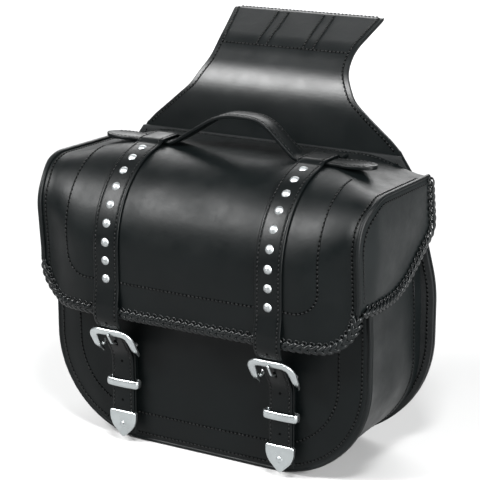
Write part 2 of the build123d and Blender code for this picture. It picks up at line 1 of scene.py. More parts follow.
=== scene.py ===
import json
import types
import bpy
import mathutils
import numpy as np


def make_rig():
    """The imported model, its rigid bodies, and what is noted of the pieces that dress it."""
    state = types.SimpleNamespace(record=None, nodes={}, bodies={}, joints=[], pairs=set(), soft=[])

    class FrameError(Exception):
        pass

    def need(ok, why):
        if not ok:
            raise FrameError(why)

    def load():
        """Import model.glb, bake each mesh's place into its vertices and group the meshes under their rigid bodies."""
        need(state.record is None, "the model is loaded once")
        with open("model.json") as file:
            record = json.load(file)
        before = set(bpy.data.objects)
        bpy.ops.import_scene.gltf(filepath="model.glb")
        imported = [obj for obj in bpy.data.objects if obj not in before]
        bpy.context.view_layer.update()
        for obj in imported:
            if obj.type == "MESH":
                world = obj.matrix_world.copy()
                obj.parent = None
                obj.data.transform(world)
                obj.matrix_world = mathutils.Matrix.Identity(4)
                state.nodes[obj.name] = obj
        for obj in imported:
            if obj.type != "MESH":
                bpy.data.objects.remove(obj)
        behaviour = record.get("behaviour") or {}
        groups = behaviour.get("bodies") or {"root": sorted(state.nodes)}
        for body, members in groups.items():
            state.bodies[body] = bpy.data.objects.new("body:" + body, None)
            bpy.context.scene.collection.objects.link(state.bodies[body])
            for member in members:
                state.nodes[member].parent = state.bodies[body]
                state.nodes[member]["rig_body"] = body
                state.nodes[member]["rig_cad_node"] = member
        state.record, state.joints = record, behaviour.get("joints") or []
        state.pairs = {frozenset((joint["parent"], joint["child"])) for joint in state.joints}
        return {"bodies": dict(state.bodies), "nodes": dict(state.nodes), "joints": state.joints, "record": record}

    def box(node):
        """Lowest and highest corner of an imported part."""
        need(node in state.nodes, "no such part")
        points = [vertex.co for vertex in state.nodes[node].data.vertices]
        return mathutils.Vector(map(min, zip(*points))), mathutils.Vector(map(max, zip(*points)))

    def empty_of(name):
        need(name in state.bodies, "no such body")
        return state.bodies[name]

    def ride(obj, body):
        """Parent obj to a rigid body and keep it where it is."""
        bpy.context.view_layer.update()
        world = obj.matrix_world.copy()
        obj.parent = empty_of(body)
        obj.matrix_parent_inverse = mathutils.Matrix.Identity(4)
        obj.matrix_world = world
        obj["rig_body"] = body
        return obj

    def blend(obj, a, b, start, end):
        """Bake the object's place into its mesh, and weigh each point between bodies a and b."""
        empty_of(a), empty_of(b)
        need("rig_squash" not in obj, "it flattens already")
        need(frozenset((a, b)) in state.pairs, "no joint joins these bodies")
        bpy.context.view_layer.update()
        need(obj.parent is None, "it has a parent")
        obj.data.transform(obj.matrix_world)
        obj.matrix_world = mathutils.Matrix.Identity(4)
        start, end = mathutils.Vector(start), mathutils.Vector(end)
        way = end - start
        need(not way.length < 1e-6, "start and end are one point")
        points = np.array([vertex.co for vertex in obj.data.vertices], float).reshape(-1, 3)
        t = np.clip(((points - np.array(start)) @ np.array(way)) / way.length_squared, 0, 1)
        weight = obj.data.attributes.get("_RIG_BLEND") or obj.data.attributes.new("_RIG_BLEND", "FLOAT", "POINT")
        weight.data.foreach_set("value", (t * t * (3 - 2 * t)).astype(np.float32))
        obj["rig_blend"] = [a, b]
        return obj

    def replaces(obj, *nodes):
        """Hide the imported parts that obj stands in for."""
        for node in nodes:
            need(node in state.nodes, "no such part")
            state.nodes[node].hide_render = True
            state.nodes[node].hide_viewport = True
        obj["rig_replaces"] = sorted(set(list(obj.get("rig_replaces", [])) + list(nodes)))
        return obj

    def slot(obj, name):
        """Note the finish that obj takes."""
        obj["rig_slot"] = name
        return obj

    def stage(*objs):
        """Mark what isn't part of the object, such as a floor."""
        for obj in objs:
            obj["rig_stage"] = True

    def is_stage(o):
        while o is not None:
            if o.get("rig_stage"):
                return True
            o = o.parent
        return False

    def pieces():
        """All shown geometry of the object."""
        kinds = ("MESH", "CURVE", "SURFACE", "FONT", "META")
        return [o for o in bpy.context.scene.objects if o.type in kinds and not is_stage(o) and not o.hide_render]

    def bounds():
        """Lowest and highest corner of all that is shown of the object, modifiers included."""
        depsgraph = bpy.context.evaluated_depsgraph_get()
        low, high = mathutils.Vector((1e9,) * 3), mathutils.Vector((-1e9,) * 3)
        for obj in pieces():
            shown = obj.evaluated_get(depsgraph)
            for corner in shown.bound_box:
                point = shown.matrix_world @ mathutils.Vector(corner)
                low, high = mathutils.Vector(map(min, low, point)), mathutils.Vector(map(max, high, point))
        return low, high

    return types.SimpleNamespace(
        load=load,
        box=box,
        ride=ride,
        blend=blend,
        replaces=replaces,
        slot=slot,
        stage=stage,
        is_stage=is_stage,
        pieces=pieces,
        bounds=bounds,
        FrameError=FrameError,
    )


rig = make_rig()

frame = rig.load()

import bpy
import bmesh
import json
import math
import numpy as np
from mathutils import Vector, noise

# Leather motorcycle saddlebag.  Outlines are in millimetres in the drawn frame of the bag
# (front panel at y = FRONT_Y); world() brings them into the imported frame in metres.

cad_low, cad_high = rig.bounds()

MM = 0.001
FRONT_Y = -94.0
BACK_Y = 40.0
SHIFT_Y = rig.box("front_panel")[0].y / MM - FRONT_Y
SIDES = ((-1, "left"), (1, "right"))
FORWARD = (0.0, -1.0, 0.0)
BACKWARD = (0.0, 1.0, 0.0)
SIDEWAYS = (1.0, 0.0, 0.0)

# lid
LID_HALF_FLAT = 118.0
LID_HALF_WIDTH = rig.box("lid_wing_right")[0].x / MM
LID_MIDDLE = [(39.5, 329.5), (-133.0, 329.5), (-132.0, 215.0), (-131.0, 150.0)]
LID_MIDDLE_RADII = [96.0, 200.0]
LID_END = [(39.5, 313.0), (-125.0, 317.0), (-116.5, 215.0), (-118.0, 150.0)]
LID_END_RADII = [50.0, 60.0]
LID_SAMPLES = [30, 60, 16, 8, 40]
LID_EDGE_Z = 160.5
LID_EDGE_RADIUS = 42.0
LID_SKIN = 3.2
WING_TOP = [(36.0, 313.1), (-125.0, 317.0), (-116.5, 215.0), (-116.8, 202.5)]
WING_TOP_RADII = [50.0, 40.0]
WING_EDGE = [(-116.8, 202.5), (-34.0, 201.5), (46.5, 254.5), (36.0, 313.1)]
WING_EDGE_RADII = [106.0, 16.0]
WING_X = LID_HALF_WIDTH + 3.0
LEAN = 4.5
LEAN_FROM_X = 150.0
LEAN_FROM_Y = -90.0

# body
FRONT_PATH = [(0.0, 1.0), (196.0, 1.0), (196.0, 165.0), (190.0, 270.0)]
FRONT_RADII = [112.0, 60.0]
BACK_PATH = [(0.0, 0.0), (208.0, 0.0), (208.0, 190.0), (178.0, 308.0), (163.0, 330.0)]
BACK_RADII = [130.0, 150.0, 24.0]
YOKE_PATH = [(48.35, 333.4), (47.6, 390.0), (84.0, 430.0), (139.0, 460.0), (149.0, 455.0)]
YOKE_RADII = [70.0, 90.0, 5.0]
YOKE_OUTLINE = [(161.0, 333.0), (150.0, 344.0), (104.0, 382.0), (87.0, 410.0), (86.0, 430.0),
                (100.0, 470.0)]
YOKE_OUTLINE_RADII = [40.0, 40.0, 34.0, 44.0]

# straps and handle
STRAP_X = 100.0
STRAP_HALF = 15.8
STRAP_THICKNESS = 3.0
TAIL_PATH = [(-134.9, 169.5), (-134.9, 154.0), (-103.3, 104.0), (-103.3, 12.0)]
BUCKLE_Z = 123.0
KEEPER_Z = 70.5
KEEPER_HALF = 19.7
KEEPER_GAP = 0.3
KEEPER_WALL = 0.8
CHAPE_GAP = 0.2
CHAPE_THICKNESS = 2.6
BUCKLE_BAR = (-8.0, -4.4)
STRAP_HOLES_Z = (150.0, 96.0, 50.0)
HANDLE_Y = -24.0
HANDLE_PATH = [(-168.0, 330.2), (-76.5, 329.8), (-24.0, 368.5), (24.0, 368.5), (76.5, 329.8),
               (168.0, 330.2)]
HANDLE_RADII = [22.0, 55.0, 55.0, 22.0]
HANDLE_LEAN = 9.0
HANDLE_BEND_X = (86.0, 42.0)

# where leather bends: from bag to lid, from bag to yoke, from lid to strap
LID_BEND = ((0.0, 45.0, 316.0), (0.0, 22.0, 298.0))
YOKE_BEND = ((0.0, 48.0, 322.0), (0.0, 48.0, 345.0))
STRAP_BEND = ((0.0, -134.0, 186.0), (0.0, -134.0, 156.0))


# ------------------------------------------------------------------ paths and places
def world(points):
    """Drawn millimetres to packed metres."""
    points = np.asarray(points, float).reshape(-1, 3).copy()
    points[:, 1] += SHIFT_Y
    return points * MM


def draw_in(made):
    """Narrows the front corners of a lid piece, which lean in past the front panel."""
    for vertex in made.data.vertices:
        x, y = abs(vertex.co.x / MM), vertex.co.y / MM - SHIFT_Y
        share = eased((x - LEAN_FROM_X) / 40.0) * eased((LEAN_FROM_Y - y) / 28.0)
        vertex.co.x *= 1 - LEAN * share / LID_HALF_WIDTH


def place(point):
    """One drawn point as a world tuple."""
    return tuple(world([point])[0])


def ends(bend):
    return dict(start=place(bend[0]), end=place(bend[1]))


def at_x(x, line):
    """3-D line through a (y, z) path at one x, or at an x for each point."""
    return np.stack([np.broadcast_to(x, len(line)), line[:, 0], line[:, 1]], 1)


def at_y(y, line):
    """3-D line through an (x, z) path at one y."""
    return np.stack([line[:, 0], np.broadcast_to(y, len(line)), line[:, 1]], 1)


def level(half, y, z, count):
    """Straight 3-D line from side to side."""
    return np.stack([np.linspace(-half, half, count), np.full(count, y), np.full(count, z)], 1)


def spot(s, along, *values):
    """Each of several 3-D rows of values, at distance s."""
    return [np.array([np.interp(s, along, v[:, k]) for k in range(3)]) for v in values]


def path_by_parts(points, radii, counts):
    """Filleted 2-D path, with a fixed number of samples on each straight and each arc."""
    points = [np.array(p, float) for p in points]
    arcs = []
    for before, corner, after, radius in zip(points, points[1:], points[2:], radii):
        a = (before - corner) / np.linalg.norm(before - corner)
        b = (after - corner) / np.linalg.norm(after - corner)
        half = math.acos(np.clip(a @ b, -1, 1)) / 2
        reach = radius / math.tan(half)
        centre = corner + (a + b) / np.linalg.norm(a + b) * radius / math.sin(half)
        arcs.append((corner + a * reach, corner + b * reach, centre, radius))
    out = []
    cursor = points[0]
    for index, (enter, leave, centre, radius) in enumerate(arcs):
        count = counts[2 * index]
        out += [cursor + (enter - cursor) * i / count for i in range(count)]
        count = counts[2 * index + 1]
        a0 = math.atan2(*(enter - centre)[::-1])
        a1 = math.atan2(*(leave - centre)[::-1])
        sweep = (a1 - a0 + math.pi) % (2 * math.pi) - math.pi
        for i in range(count):
            angle = a0 + sweep * i / count
            out.append(centre + radius * np.array([math.cos(angle), math.sin(angle)]))
        cursor = leave
    count = counts[-1]
    out += [cursor + (points[-1] - cursor) * i / count for i in range(count + 1)]
    return np.array(out)


def lengths(path):
    """Distance along a polyline at each of its points."""
    steps = np.linalg.norm(np.diff(path, axis=0), axis=1)
    return np.concatenate([[0.0], np.cumsum(steps)])


def resample(path, count):
    """The polyline with count evenly spaced points."""
    along = lengths(path)
    wanted = np.linspace(0, along[-1], count)
    return np.stack([np.interp(wanted, along, path[:, k]) for k in range(path.shape[1])], 1)


def smooth_path(points, radii, step=2.0):
    """Filleted path resampled at about one step."""
    path = path_by_parts(points, radii, [40] * (2 * len(radii) + 1))
    return resample(path, max(2, int(round(lengths(path)[-1] / step)) + 1))


def relaxed(path, rounds):
    """The polyline with its corners eased, its ends kept."""
    path = path.copy()
    for _ in range(rounds):
        path[1:-1] = 0.25 * path[:-2] + 0.5 * path[1:-1] + 0.25 * path[2:]
    return path


def inset(path, amount):
    """A 2-D polyline moved to its left."""
    tangent = np.gradient(path, axis=0)
    tangent /= np.linalg.norm(tangent, axis=1)[:, None]
    return path + amount * np.stack([-tangent[:, 1], tangent[:, 0]], 1)


def eased(value):
    """Smooth step from 0 to 1."""
    value = np.clip(value, 0.0, 1.0)
    return value * value * (3 - 2 * value)


def mirrored_path(half):
    """Left half reversed, then the right half, of a path that starts on the centre line."""
    left = half[::-1].copy()
    left[:, 0] *= -1
    return np.concatenate([left[:-1], half])


# ------------------------------------------------------------------ meshes
class Shape:
    """Vertices and faces collected for one piece."""

    def __init__(self):
        self.verts = []
        self.faces = []

    def add(self, verts, faces):
        base = len(self.verts)
        self.verts += [tuple(v) for v in verts]
        self.faces += [tuple(base + i for i in face) for face in faces]

    def grid(self, rows):
        """Quads over a rows x columns x 3 array."""
        height, width = rows.shape[:2]
        faces = []
        for i in range(height - 1):
            for j in range(width - 1):
                a = i * width + j
                faces.append((a, a + 1, a + width + 1, a + width))
        self.add(rows.reshape(-1, 3), faces)

    def sweep(self, centres, across, up, section, scale=1.0, closed=False):
        """Solid of a closed (across, up) section carried along a path."""
        section = np.asarray(section, float)
        scale = np.broadcast_to(scale, len(centres))
        self.loft(centres[:, None, :]
                  + across[:, None, :] * (scale[:, None] * section[:, 0])[:, :, None]
                  + up[:, None, :] * section[:, 1][None, :, None], closed)

    def loft(self, rings, closed=False):
        """Skin over rings of points, capped at both ends unless it closes on itself."""
        count, sides = rings.shape[:2]
        faces = []
        for i in range(count if closed else count - 1):
            below = (i + 1) % count
            for j in range(sides):
                k = (j + 1) % sides
                faces.append((i * sides + j, i * sides + k, below * sides + k, below * sides + j))
        if not closed:
            faces.append(tuple(range(sides))[::-1])
            faces.append(tuple((count - 1) * sides + j for j in range(sides)))
        self.add(rings.reshape(-1, 3), faces)

    def tube(self, centres, across, up, half_width, half_height, sides=8, power=1.0):
        """Closed tube with an elliptical section; across and up are unit vectors per point."""
        count = len(centres)
        angles = np.linspace(0, 2 * math.pi, sides, endpoint=False)
        cos = np.sign(np.cos(angles)) * np.abs(np.cos(angles)) ** power
        sin = np.sign(np.sin(angles)) * np.abs(np.sin(angles)) ** power
        half_width = np.broadcast_to(half_width, count)
        half_height = np.broadcast_to(half_height, count)
        self.loft(centres[:, None, :]
                  + across[:, None, :] * (half_width[:, None] * cos)[:, :, None]
                  + up[:, None, :] * (half_height[:, None] * sin)[:, :, None])

    def cord(self, line, facing, half_width, half_height, sides=8, power=1.0):
        """Tube along a line, its height towards facing."""
        _, up, across = frames(line, facing)
        self.tube(line, across, up, half_width, half_height, sides, power)


# Dark discs of painted shade, one at each awl hole of the stitched seams.
AWL_SHADE_DISCS = Shape()


def linked(name, data):
    """New object in the scene."""
    made = bpy.data.objects.new(name, data)
    bpy.context.scene.collection.objects.link(made)
    return made


def piece(name, shape, material, slot, sharp=0, second=None, second_from=0):
    """Blender object from a shape in drawn millimetres, its later faces in a second material."""
    mesh = bpy.data.meshes.new(name)
    mesh.from_pydata([tuple(v) for v in world(shape.verts)], [], shape.faces)
    mesh.materials.append(material)
    if second is not None:
        mesh.materials.append(second)
        mesh.polygons.foreach_set("material_index", [int(i >= second_from) for i in
                                                     range(len(shape.faces))])
    mesh.validate()
    work = bmesh.new()
    work.from_mesh(mesh)
    bmesh.ops.remove_doubles(work, verts=work.verts, dist=0.00002)
    bmesh.ops.recalc_face_normals(work, faces=work.faces)
    work.to_mesh(mesh)
    work.free()
    mesh.polygons.foreach_set("use_smooth", [True] * len(mesh.polygons))
    if sharp:
        mesh.set_sharp_from_angle(angle=math.radians(sharp))
    made = linked(name, mesh)
    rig.slot(made, slot)
    return made


def settle(made):
    """Applies the modifiers of a piece to its mesh."""
    graph = bpy.context.evaluated_depsgraph_get()
    mesh = bpy.data.meshes.new_from_object(made.evaluated_get(graph))
    old = made.data
    made.modifiers.clear()
    made.data = mesh
    bpy.data.meshes.remove(old)
    mesh.name = made.name
    return made


def sheet(name, rows, thickness, material, slot, edge=0.7, outward=None, rounds=2):
    """Leather sheet: a grid thickened away from its outer side, with eased edges."""
    shape = Shape()
    shape.grid(rows)
    mesh = bpy.data.meshes.new(name)
    mesh.from_pydata([tuple(v) for v in world(shape.verts)], [], shape.faces)
    mesh.validate()
    mesh.materials.append(material)
    work = bmesh.new()
    work.from_mesh(mesh)
    bmesh.ops.remove_doubles(work, verts=work.verts, dist=0.00002)
    work.faces.ensure_lookup_table()
    middle = work.faces[len(work.faces) // 2]
    if outward is not None and middle.normal.dot(Vector(outward)) < 0:
        bmesh.ops.reverse_faces(work, faces=work.faces)
    work.to_mesh(mesh)
    work.free()
    made = linked(name, mesh)
    thick = made.modifiers.new("thickness", "SOLIDIFY")
    thick.thickness = thickness * MM
    thick.offset = -1.0
    thick.use_even_offset = False
    if edge:
        ease = made.modifiers.new("edge", "BEVEL")
        ease.width = edge * MM
        ease.segments = rounds
        ease.limit_method = "ANGLE"
        ease.angle_limit = math.radians(50)
        ease.harden_normals = False
    settle(made)
    made.data.polygons.foreach_set("use_smooth", [True] * len(made.data.polygons))
    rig.slot(made, slot)
    return made


def frames(path, normals):
    """Unit tangents, normals and sideways vectors along a 3-D path."""
    tangent = np.gradient(path, axis=0)
    tangent /= np.linalg.norm(tangent, axis=1)[:, None] + 1e-12
    normals = np.broadcast_to(np.asarray(normals, float), path.shape).copy()
    normals -= (normals * tangent).sum(1)[:, None] * tangent
    normals /= np.linalg.norm(normals, axis=1)[:, None] + 1e-12
    return tangent, normals, np.cross(tangent, normals)


def stitches(shape, path, normals, pitch=4.8, length=3.2, width=0.85, lift=0.2, slant=0.2):
    """Row of sewn stitches along a 3-D path on a surface, each with a dark disc before it, painted shade of its awl
    hole.
    """
    tangent, normals, side = frames(path, normals)
    along = lengths(path)
    count = int(along[-1] / pitch)
    if count < 1:
        return
    start = (along[-1] - count * pitch) / 2
    profile = np.array([0.0, 0.62, 1.0, 1.0, 0.62, 0.0])
    reach = np.array([-0.5, -0.42, -0.2, 0.2, 0.42, 0.5]) * length
    height = np.array([-0.45, 0.0, 0.12, 0.12, 0.0, -0.45])
    for index in range(count):
        middle = start + (index + 0.5) * pitch
        centre, t, n, s = spot(middle, along, path, tangent, normals, side)
        heading = t * math.cos(slant) + s * math.sin(slant)
        across = np.cross(n, heading)
        centres = (centre + reach[:, None] * heading + (height + lift)[:, None] * n)
        sides = np.broadcast_to(across, centres.shape)
        ups = np.broadcast_to(n, centres.shape)
        shape.tube(centres, sides, ups, width * profile + 0.05, width * 0.8 * profile + 0.05,
                   sides=6)
        pit = centre - heading * pitch / 2
        # Dark disc of painted shade at the awl hole.
        disc(AWL_SHADE_DISCS, pit, n, across, 1.45, 1.0, above=0.12, sides=8)


def disc(shape, centre, normal, across, half_width, half_height, above=0.0, sides=14):
    """Thin closed plate let into a surface, standing above it by a hair; each use is a dark plate of painted shade
    standing for a hole.
    """
    ends = np.array([centre - normal * 0.4, centre + normal * above])
    shape.tube(ends, np.array([across] * 2), np.array([np.cross(normal, across)] * 2),
               half_width, half_height, sides=sides)


def sewn(name, shape):
    """Thread of one seam, with a dark disc of painted shade at each awl hole between its stitches, in a second
    material.
    """
    count = len(shape.faces)
    shape.add(AWL_SHADE_DISCS.verts, AWL_SHADE_DISCS.faces)
    AWL_SHADE_DISCS.verts.clear()
    AWL_SHADE_DISCS.faces.clear()
    return piece(name, shape, THREAD, "lacing_leather", second=AWL_SHADE, second_from=count)


def ride_all(body, *made):
    """Puts pieces on a body."""
    for item in made:
        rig.ride(item, body)


def blend_lid(made):
    """Narrows a piece of the lid and bends it between bag and lid, the same way for all."""
    draw_in(made)
    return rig.blend(made, "bag", "lid", **ends(LID_BEND))


# ------------------------------------------------------------------ materials
class Nodes:
    """Short form for building a node tree."""

    def __init__(self, name):
        self.material = bpy.data.materials.new(name)
        self.material.use_nodes = True
        self.tree = self.material.node_tree
        self.shader = self.tree.nodes["Principled BSDF"]
        self.place = self.new("ShaderNodeTexCoord").outputs["Object"]

    def new(self, kind, **inputs):
        node = self.tree.nodes.new(kind)
        for key, value in inputs.items():
            node.inputs[key.replace("_", " ")].default_value = value
        return node

    def link(self, source, target):
        self.tree.links.new(source, target)

    def noise(self, scale, detail=4.0, roughness=0.55, distortion=0.0):
        node = self.new("ShaderNodeTexNoise", Scale=scale, Detail=detail, Roughness=roughness,
                        Distortion=distortion)
        self.link(self.place, node.inputs["Vector"])
        return node.outputs["Fac"]

    def cells(self, scale):
        node = self.new("ShaderNodeTexVoronoi", Scale=scale)
        node.feature = "SMOOTH_F1"
        self.link(self.place, node.inputs["Vector"])
        return node.outputs["Distance"]

    def ramp(self, source, low, high, start=0.0, end=1.0):
        """Maps source from start..end to low..high."""
        node = self.new("ShaderNodeMapRange")
        node.inputs["From Min"].default_value = start
        node.inputs["From Max"].default_value = end
        node.inputs["To Min"].default_value = low
        node.inputs["To Max"].default_value = high
        self.link(source, node.inputs["Value"])
        return node.outputs["Result"]

    def mix(self, factor, first, second):
        node = self.tree.nodes.new("ShaderNodeMix")
        node.data_type = "RGBA"
        self.link(factor, node.inputs["Factor"])
        node.inputs["A"].default_value = (*first, 1.0)
        node.inputs["B"].default_value = (*second, 1.0)
        return node.outputs["Result"]

    def math(self, operation, first, second):
        node = self.tree.nodes.new("ShaderNodeMath")
        node.operation = operation
        for socket, value in zip(node.inputs, (first, second)):
            if isinstance(value, (int, float)):
                socket.default_value = value
            else:
                self.link(value, socket)
        return node.outputs["Value"]

    def bump(self, *layers):
        """Chain of (height, strength, distance in metres) bumps into the shader."""
        normal = None
        for height, strength, distance in layers:
            node = self.new("ShaderNodeBump", Strength=strength, Distance=distance)
            self.link(height, node.inputs["Height"])
            if normal is not None:
                self.link(normal, node.inputs["Normal"])
            normal = node.outputs["Normal"]
        self.link(normal, self.shader.inputs["Normal"])

    def set(self, **values):
        for key, value in values.items():
            self.shader.inputs[key.replace("_", " ")].default_value = value


def leather(name, dark, light, low=0.36, high=0.50, grain=0.25, coat=0.0, broad=0.35,
            sheen=0.11):
    """Dyed leather: fine pebble grain, soft creases, uneven dye and sheen."""
    made = Nodes(name)
    cloud = made.noise(14.0, 5.0, 0.6)
    fine = made.noise(420.0, 3.0, 0.6)
    tone = made.math("ADD", made.math("MULTIPLY", cloud, 0.75), made.math("MULTIPLY", fine, 0.25))
    made.link(made.mix(made.ramp(tone, 0.0, 1.0, 0.3, 0.7), dark, light),
              made.shader.inputs["Base Color"])
    gloss = made.noise(38.0, 4.0, 0.6)
    made.link(made.ramp(gloss, low, high, 0.3, 0.7), made.shader.inputs["Roughness"])
    pebble = made.cells(1150.0)
    pores = made.noise(900.0, 2.0, 0.5)
    crease = made.noise(60.0, 5.0, 0.62, 0.4)
    made.bump((crease, broad, 0.0006), (pebble, grain, 0.00012), (pores, grain * 0.6, 0.00008))
    made.set(Coat_Weight=coat, Coat_Roughness=0.30, Specular_IOR_Level=sheen)
    return made.material


def metal(name, colour, low, high):
    """Plated metal with fine handling marks."""
    made = Nodes(name)
    cloud = made.noise(55.0, 4.0, 0.6)
    dim = tuple(c * 0.86 for c in colour)
    made.link(made.mix(made.ramp(cloud, 0.0, 1.0, 0.35, 0.65), dim, colour),
              made.shader.inputs["Base Color"])
    made.link(made.ramp(made.noise(160.0, 5.0, 0.7), low, high, 0.3, 0.7),
              made.shader.inputs["Roughness"])
    marks = made.noise(1400.0, 2.0, 0.5)
    made.bump((marks, 0.08, 0.00006))
    made.set(Metallic=1.0)
    return made.material


def cloth(name, dark, light, pitch, strength=0.5, rough=0.88, sheen=0.3):
    """Woven cloth: two crossed waves of threads."""
    made = Nodes(name)
    waves = []
    for direction in ("X", "Z"):
        wave = made.new("ShaderNodeTexWave", Scale=pitch, Distortion=0.6, Detail=1.0)
        wave.bands_direction = direction
        made.link(made.place, wave.inputs["Vector"])
        waves.append(wave.outputs["Fac"])
    weave = made.math("MULTIPLY", waves[0], waves[1])
    made.link(made.mix(weave, dark, light), made.shader.inputs["Base Color"])
    made.bump((weave, strength, 0.0003))
    made.set(Roughness=rough, Specular_IOR_Level=sheen)
    return made.material


def plain(name, colour, roughness, scale=300.0, sheen=0.5):
    """Matt surface with a little fine relief."""
    made = Nodes(name)
    cloud = made.noise(scale, 4.0, 0.6)
    bright = tuple(min(1.0, c * 1.5) for c in colour)
    made.link(made.mix(cloud, colour, bright), made.shader.inputs["Base Color"])
    made.bump((cloud, 0.4, 0.0002))
    made.set(Roughness=roughness, Specular_IOR_Level=sheen)
    return made.material


HIDE = leather("black_leather", (0.0004, 0.0009, 0.0010), (0.0011, 0.0019, 0.0020), 0.38, 0.52)
YOKE_HIDE = leather("yoke_leather", (0.0004, 0.0009, 0.0010), (0.0011, 0.0019, 0.0020), 0.33, 0.40,
                    sheen=0.25)
# Same black leather as the front, its base colour lifted: painted light of the side lamp and bright floor on the wings
# and gusset. The mix between its two tones is uneven dye.
SIDE_LIT_HIDE = leather("wing_leather", (0.0012, 0.0019, 0.0020), (0.0028, 0.0040, 0.0042), 0.36, 0.50,
               sheen=0.15)
STRAP = leather("strap_leather", (0.0004, 0.0008, 0.0009), (0.0011, 0.0017, 0.0018), 0.32, 0.46,
                grain=0.3)
DULL = leather("dull_leather", (0.004, 0.0045, 0.0047), (0.009, 0.0098, 0.010), 0.55, 0.75,
               grain=0.5, broad=0.5)
LACE = leather("lacing", (0.0010, 0.0014, 0.0015), (0.0034, 0.0044, 0.0046), 0.24, 0.36, grain=0.2,
               coat=0.15)
EDGE = leather("edge_leather", (0.0010, 0.0014, 0.0015), (0.0034, 0.0043, 0.0045), 0.36, 0.52,
               grain=0.4)
THREAD = cloth("thread", (0.0010, 0.0012, 0.0012), (0.0050, 0.0060, 0.0062), 1500.0, 0.6, 0.42,
               sheen=0.16)
NICKEL = metal("satin_nickel", (0.37, 0.395, 0.40), 0.26, 0.38)
STUD = metal("stud_nickel", (0.29, 0.305, 0.31), 0.42, 0.54)
STEEL = metal("bar_steel", (0.60, 0.61, 0.62), 0.3, 0.45)
LINING = cloth("lining_fabric", (0.004, 0.004, 0.0045), (0.022, 0.022, 0.024), 1300.0)
HOOKS = cloth("hook_and_loop", (0.003, 0.003, 0.003), (0.03, 0.03, 0.032), 700.0, 1.0)
BOARD = plain("fibre_board", (0.16, 0.11, 0.07), 0.85)
# Near-black plate with almost no reflection: painted shade standing for the inside of each awl hole.
AWL_SHADE = plain("awl_hole_shade", (0.0003, 0.0004, 0.0004), 0.9, sheen=0.02)
# Near-black plate with almost no reflection: painted shade standing for the inside of each punched hole and lacing
# hole.
HOLE_SHADE = plain("punched_hole_shade", (0.0004, 0.0005, 0.0005), 0.9, sheen=0.02)

SLOT_MATERIALS = {"black_leather": HIDE, "strap_leather": STRAP, "dull_leather": DULL,
                  "lacing_leather": LACE, "edge_leather": EDGE, "lining_fabric": LINING,
                  "seam_tape": LINING, "hook_and_loop": HOOKS, "board": BOARD,
                  "satin_nickel": NICKEL, "stud_metal": STUD, "bar_steel": STEEL,
                  "snap_metal": STEEL}
for entry in frame["record"]["subparts"]:
    node = frame["nodes"][entry["node"]]
    node.data.materials.clear()
    node.data.materials.append(SLOT_MATERIALS[entry["material_slot"]])


# ------------------------------------------------------------------ lid
MIDDLE = path_by_parts(LID_MIDDLE, LID_MIDDLE_RADII, LID_SAMPLES)
END = path_by_parts(LID_END, LID_END_RADII, LID_SAMPLES)
profiles = {}


def lid_edge_z(x):
    """Height of the lid's lower edge, which sweeps up at both corners."""
    over = min(max(abs(x) - (LID_HALF_WIDTH - LID_EDGE_RADIUS), 0.0), LID_EDGE_RADIUS)
    return LID_EDGE_Z + LID_EDGE_RADIUS - math.sqrt(LID_EDGE_RADIUS ** 2 - over ** 2)


def lid_swell(x, s):
    """Soft unevenness of the lid, none under the straps."""
    between = 1.0 - eased((abs(x) - 52.0) / 28.0)
    outside = eased((abs(x) - 120.0) / 22.0) * (1.0 - eased((abs(x) - 180.0) / 16.0))
    wave = noise.noise(Vector((x / 62.0, s / 58.0, 3.1)))
    fine = noise.noise(Vector((x / 23.0, s / 27.0, 8.4)))
    below_top = eased((s - 95.0) / 40.0)
    pillow = 3.0 * max(0.0, 1 - (x / 84.0) ** 2)
    pillow += 2.0 * max(0.0, 1 - ((abs(x) - 152.0) / 34.0) ** 2)
    pillow *= eased((s - 80.0) / 70.0) * (1 - eased((s - 240.0) / 55.0))
    return below_top * (between + outside) * (wave + 0.35 * fine) + pillow


def lid_profile(x):
    """(y, z) polyline of the lid at x, from the hinge side to the lower edge."""
    key = round(x, 2)
    if key not in profiles:
        weight = eased((abs(x) - LID_HALF_FLAT) / (LID_HALF_WIDTH - LID_HALF_FLAT)) ** 1.15
        path = MIDDLE * (1 - weight) + END * weight
        low = lid_edge_z(x)
        keep = (path[:, 1] > low) | (path[:, 0] > -60.0)
        path = path[keep]
        last = path[-1]
        path = np.concatenate([path, [[last[0] + 0.01 * (last[1] - low), low]]])
        profiles[key] = (path, lengths(path))
    return profiles[key]


def lid_point(x, s):
    """Point of the lid's outer surface at x, s millimetres from its rear edge."""
    path, along = lid_profile(x)
    return np.array([x, np.interp(s, along, path[:, 0]), np.interp(s, along, path[:, 1])])


def lid_frame(x, s):
    """Point and outward normal on the lid."""
    point = lid_point(x, s)
    d_x = lid_point(x + 1.0, s) - lid_point(x - 1.0, s)
    d_s = lid_point(x, s + 1.0) - lid_point(x, s - 1.0)
    normal = np.cross(d_s, d_x)
    normal /= np.linalg.norm(normal) + 1e-12
    inside = np.array([x, -40.0, 240.0])
    if normal @ (point - inside) < 0:
        normal = -normal
    return point, normal


def lid_grid(columns, row_count, sink=0.0, trim=0.0):
    """Grid over the lid, optionally sunk below the outer surface and short of its edge."""
    rows = np.zeros((row_count, len(columns), 3))
    for j, x in enumerate(columns):
        path, along = lid_profile(x)
        for i, s in enumerate(np.linspace(0, along[-1] - trim, row_count)):
            _, normal = lid_frame(x, min(max(s, 1.1), along[-1] - 1.1))
            rows[i, j] = lid_point(x, s) + normal * (lid_swell(x, s) - sink)
    return rows


def lid_columns():
    """Column positions across the lid, denser where its lower edge sweeps up."""
    flat = LID_HALF_WIDTH - LID_EDGE_RADIUS
    middle = np.linspace(-flat, flat, 95)
    turn = flat + LID_EDGE_RADIUS * np.sin(np.linspace(0, math.pi / 2, 15)[1:])
    return np.concatenate([-turn[::-1], middle, turn])


def lid_line(spots):
    """Surface points and normals of the lid for a list of (x, s)."""
    found = [lid_frame(x, s) for x, s in spots]
    points = np.array([point + normal * lid_swell(x, s)
                       for (point, normal), (x, s) in zip(found, spots)])
    return points, np.array([normal for _, normal in found])


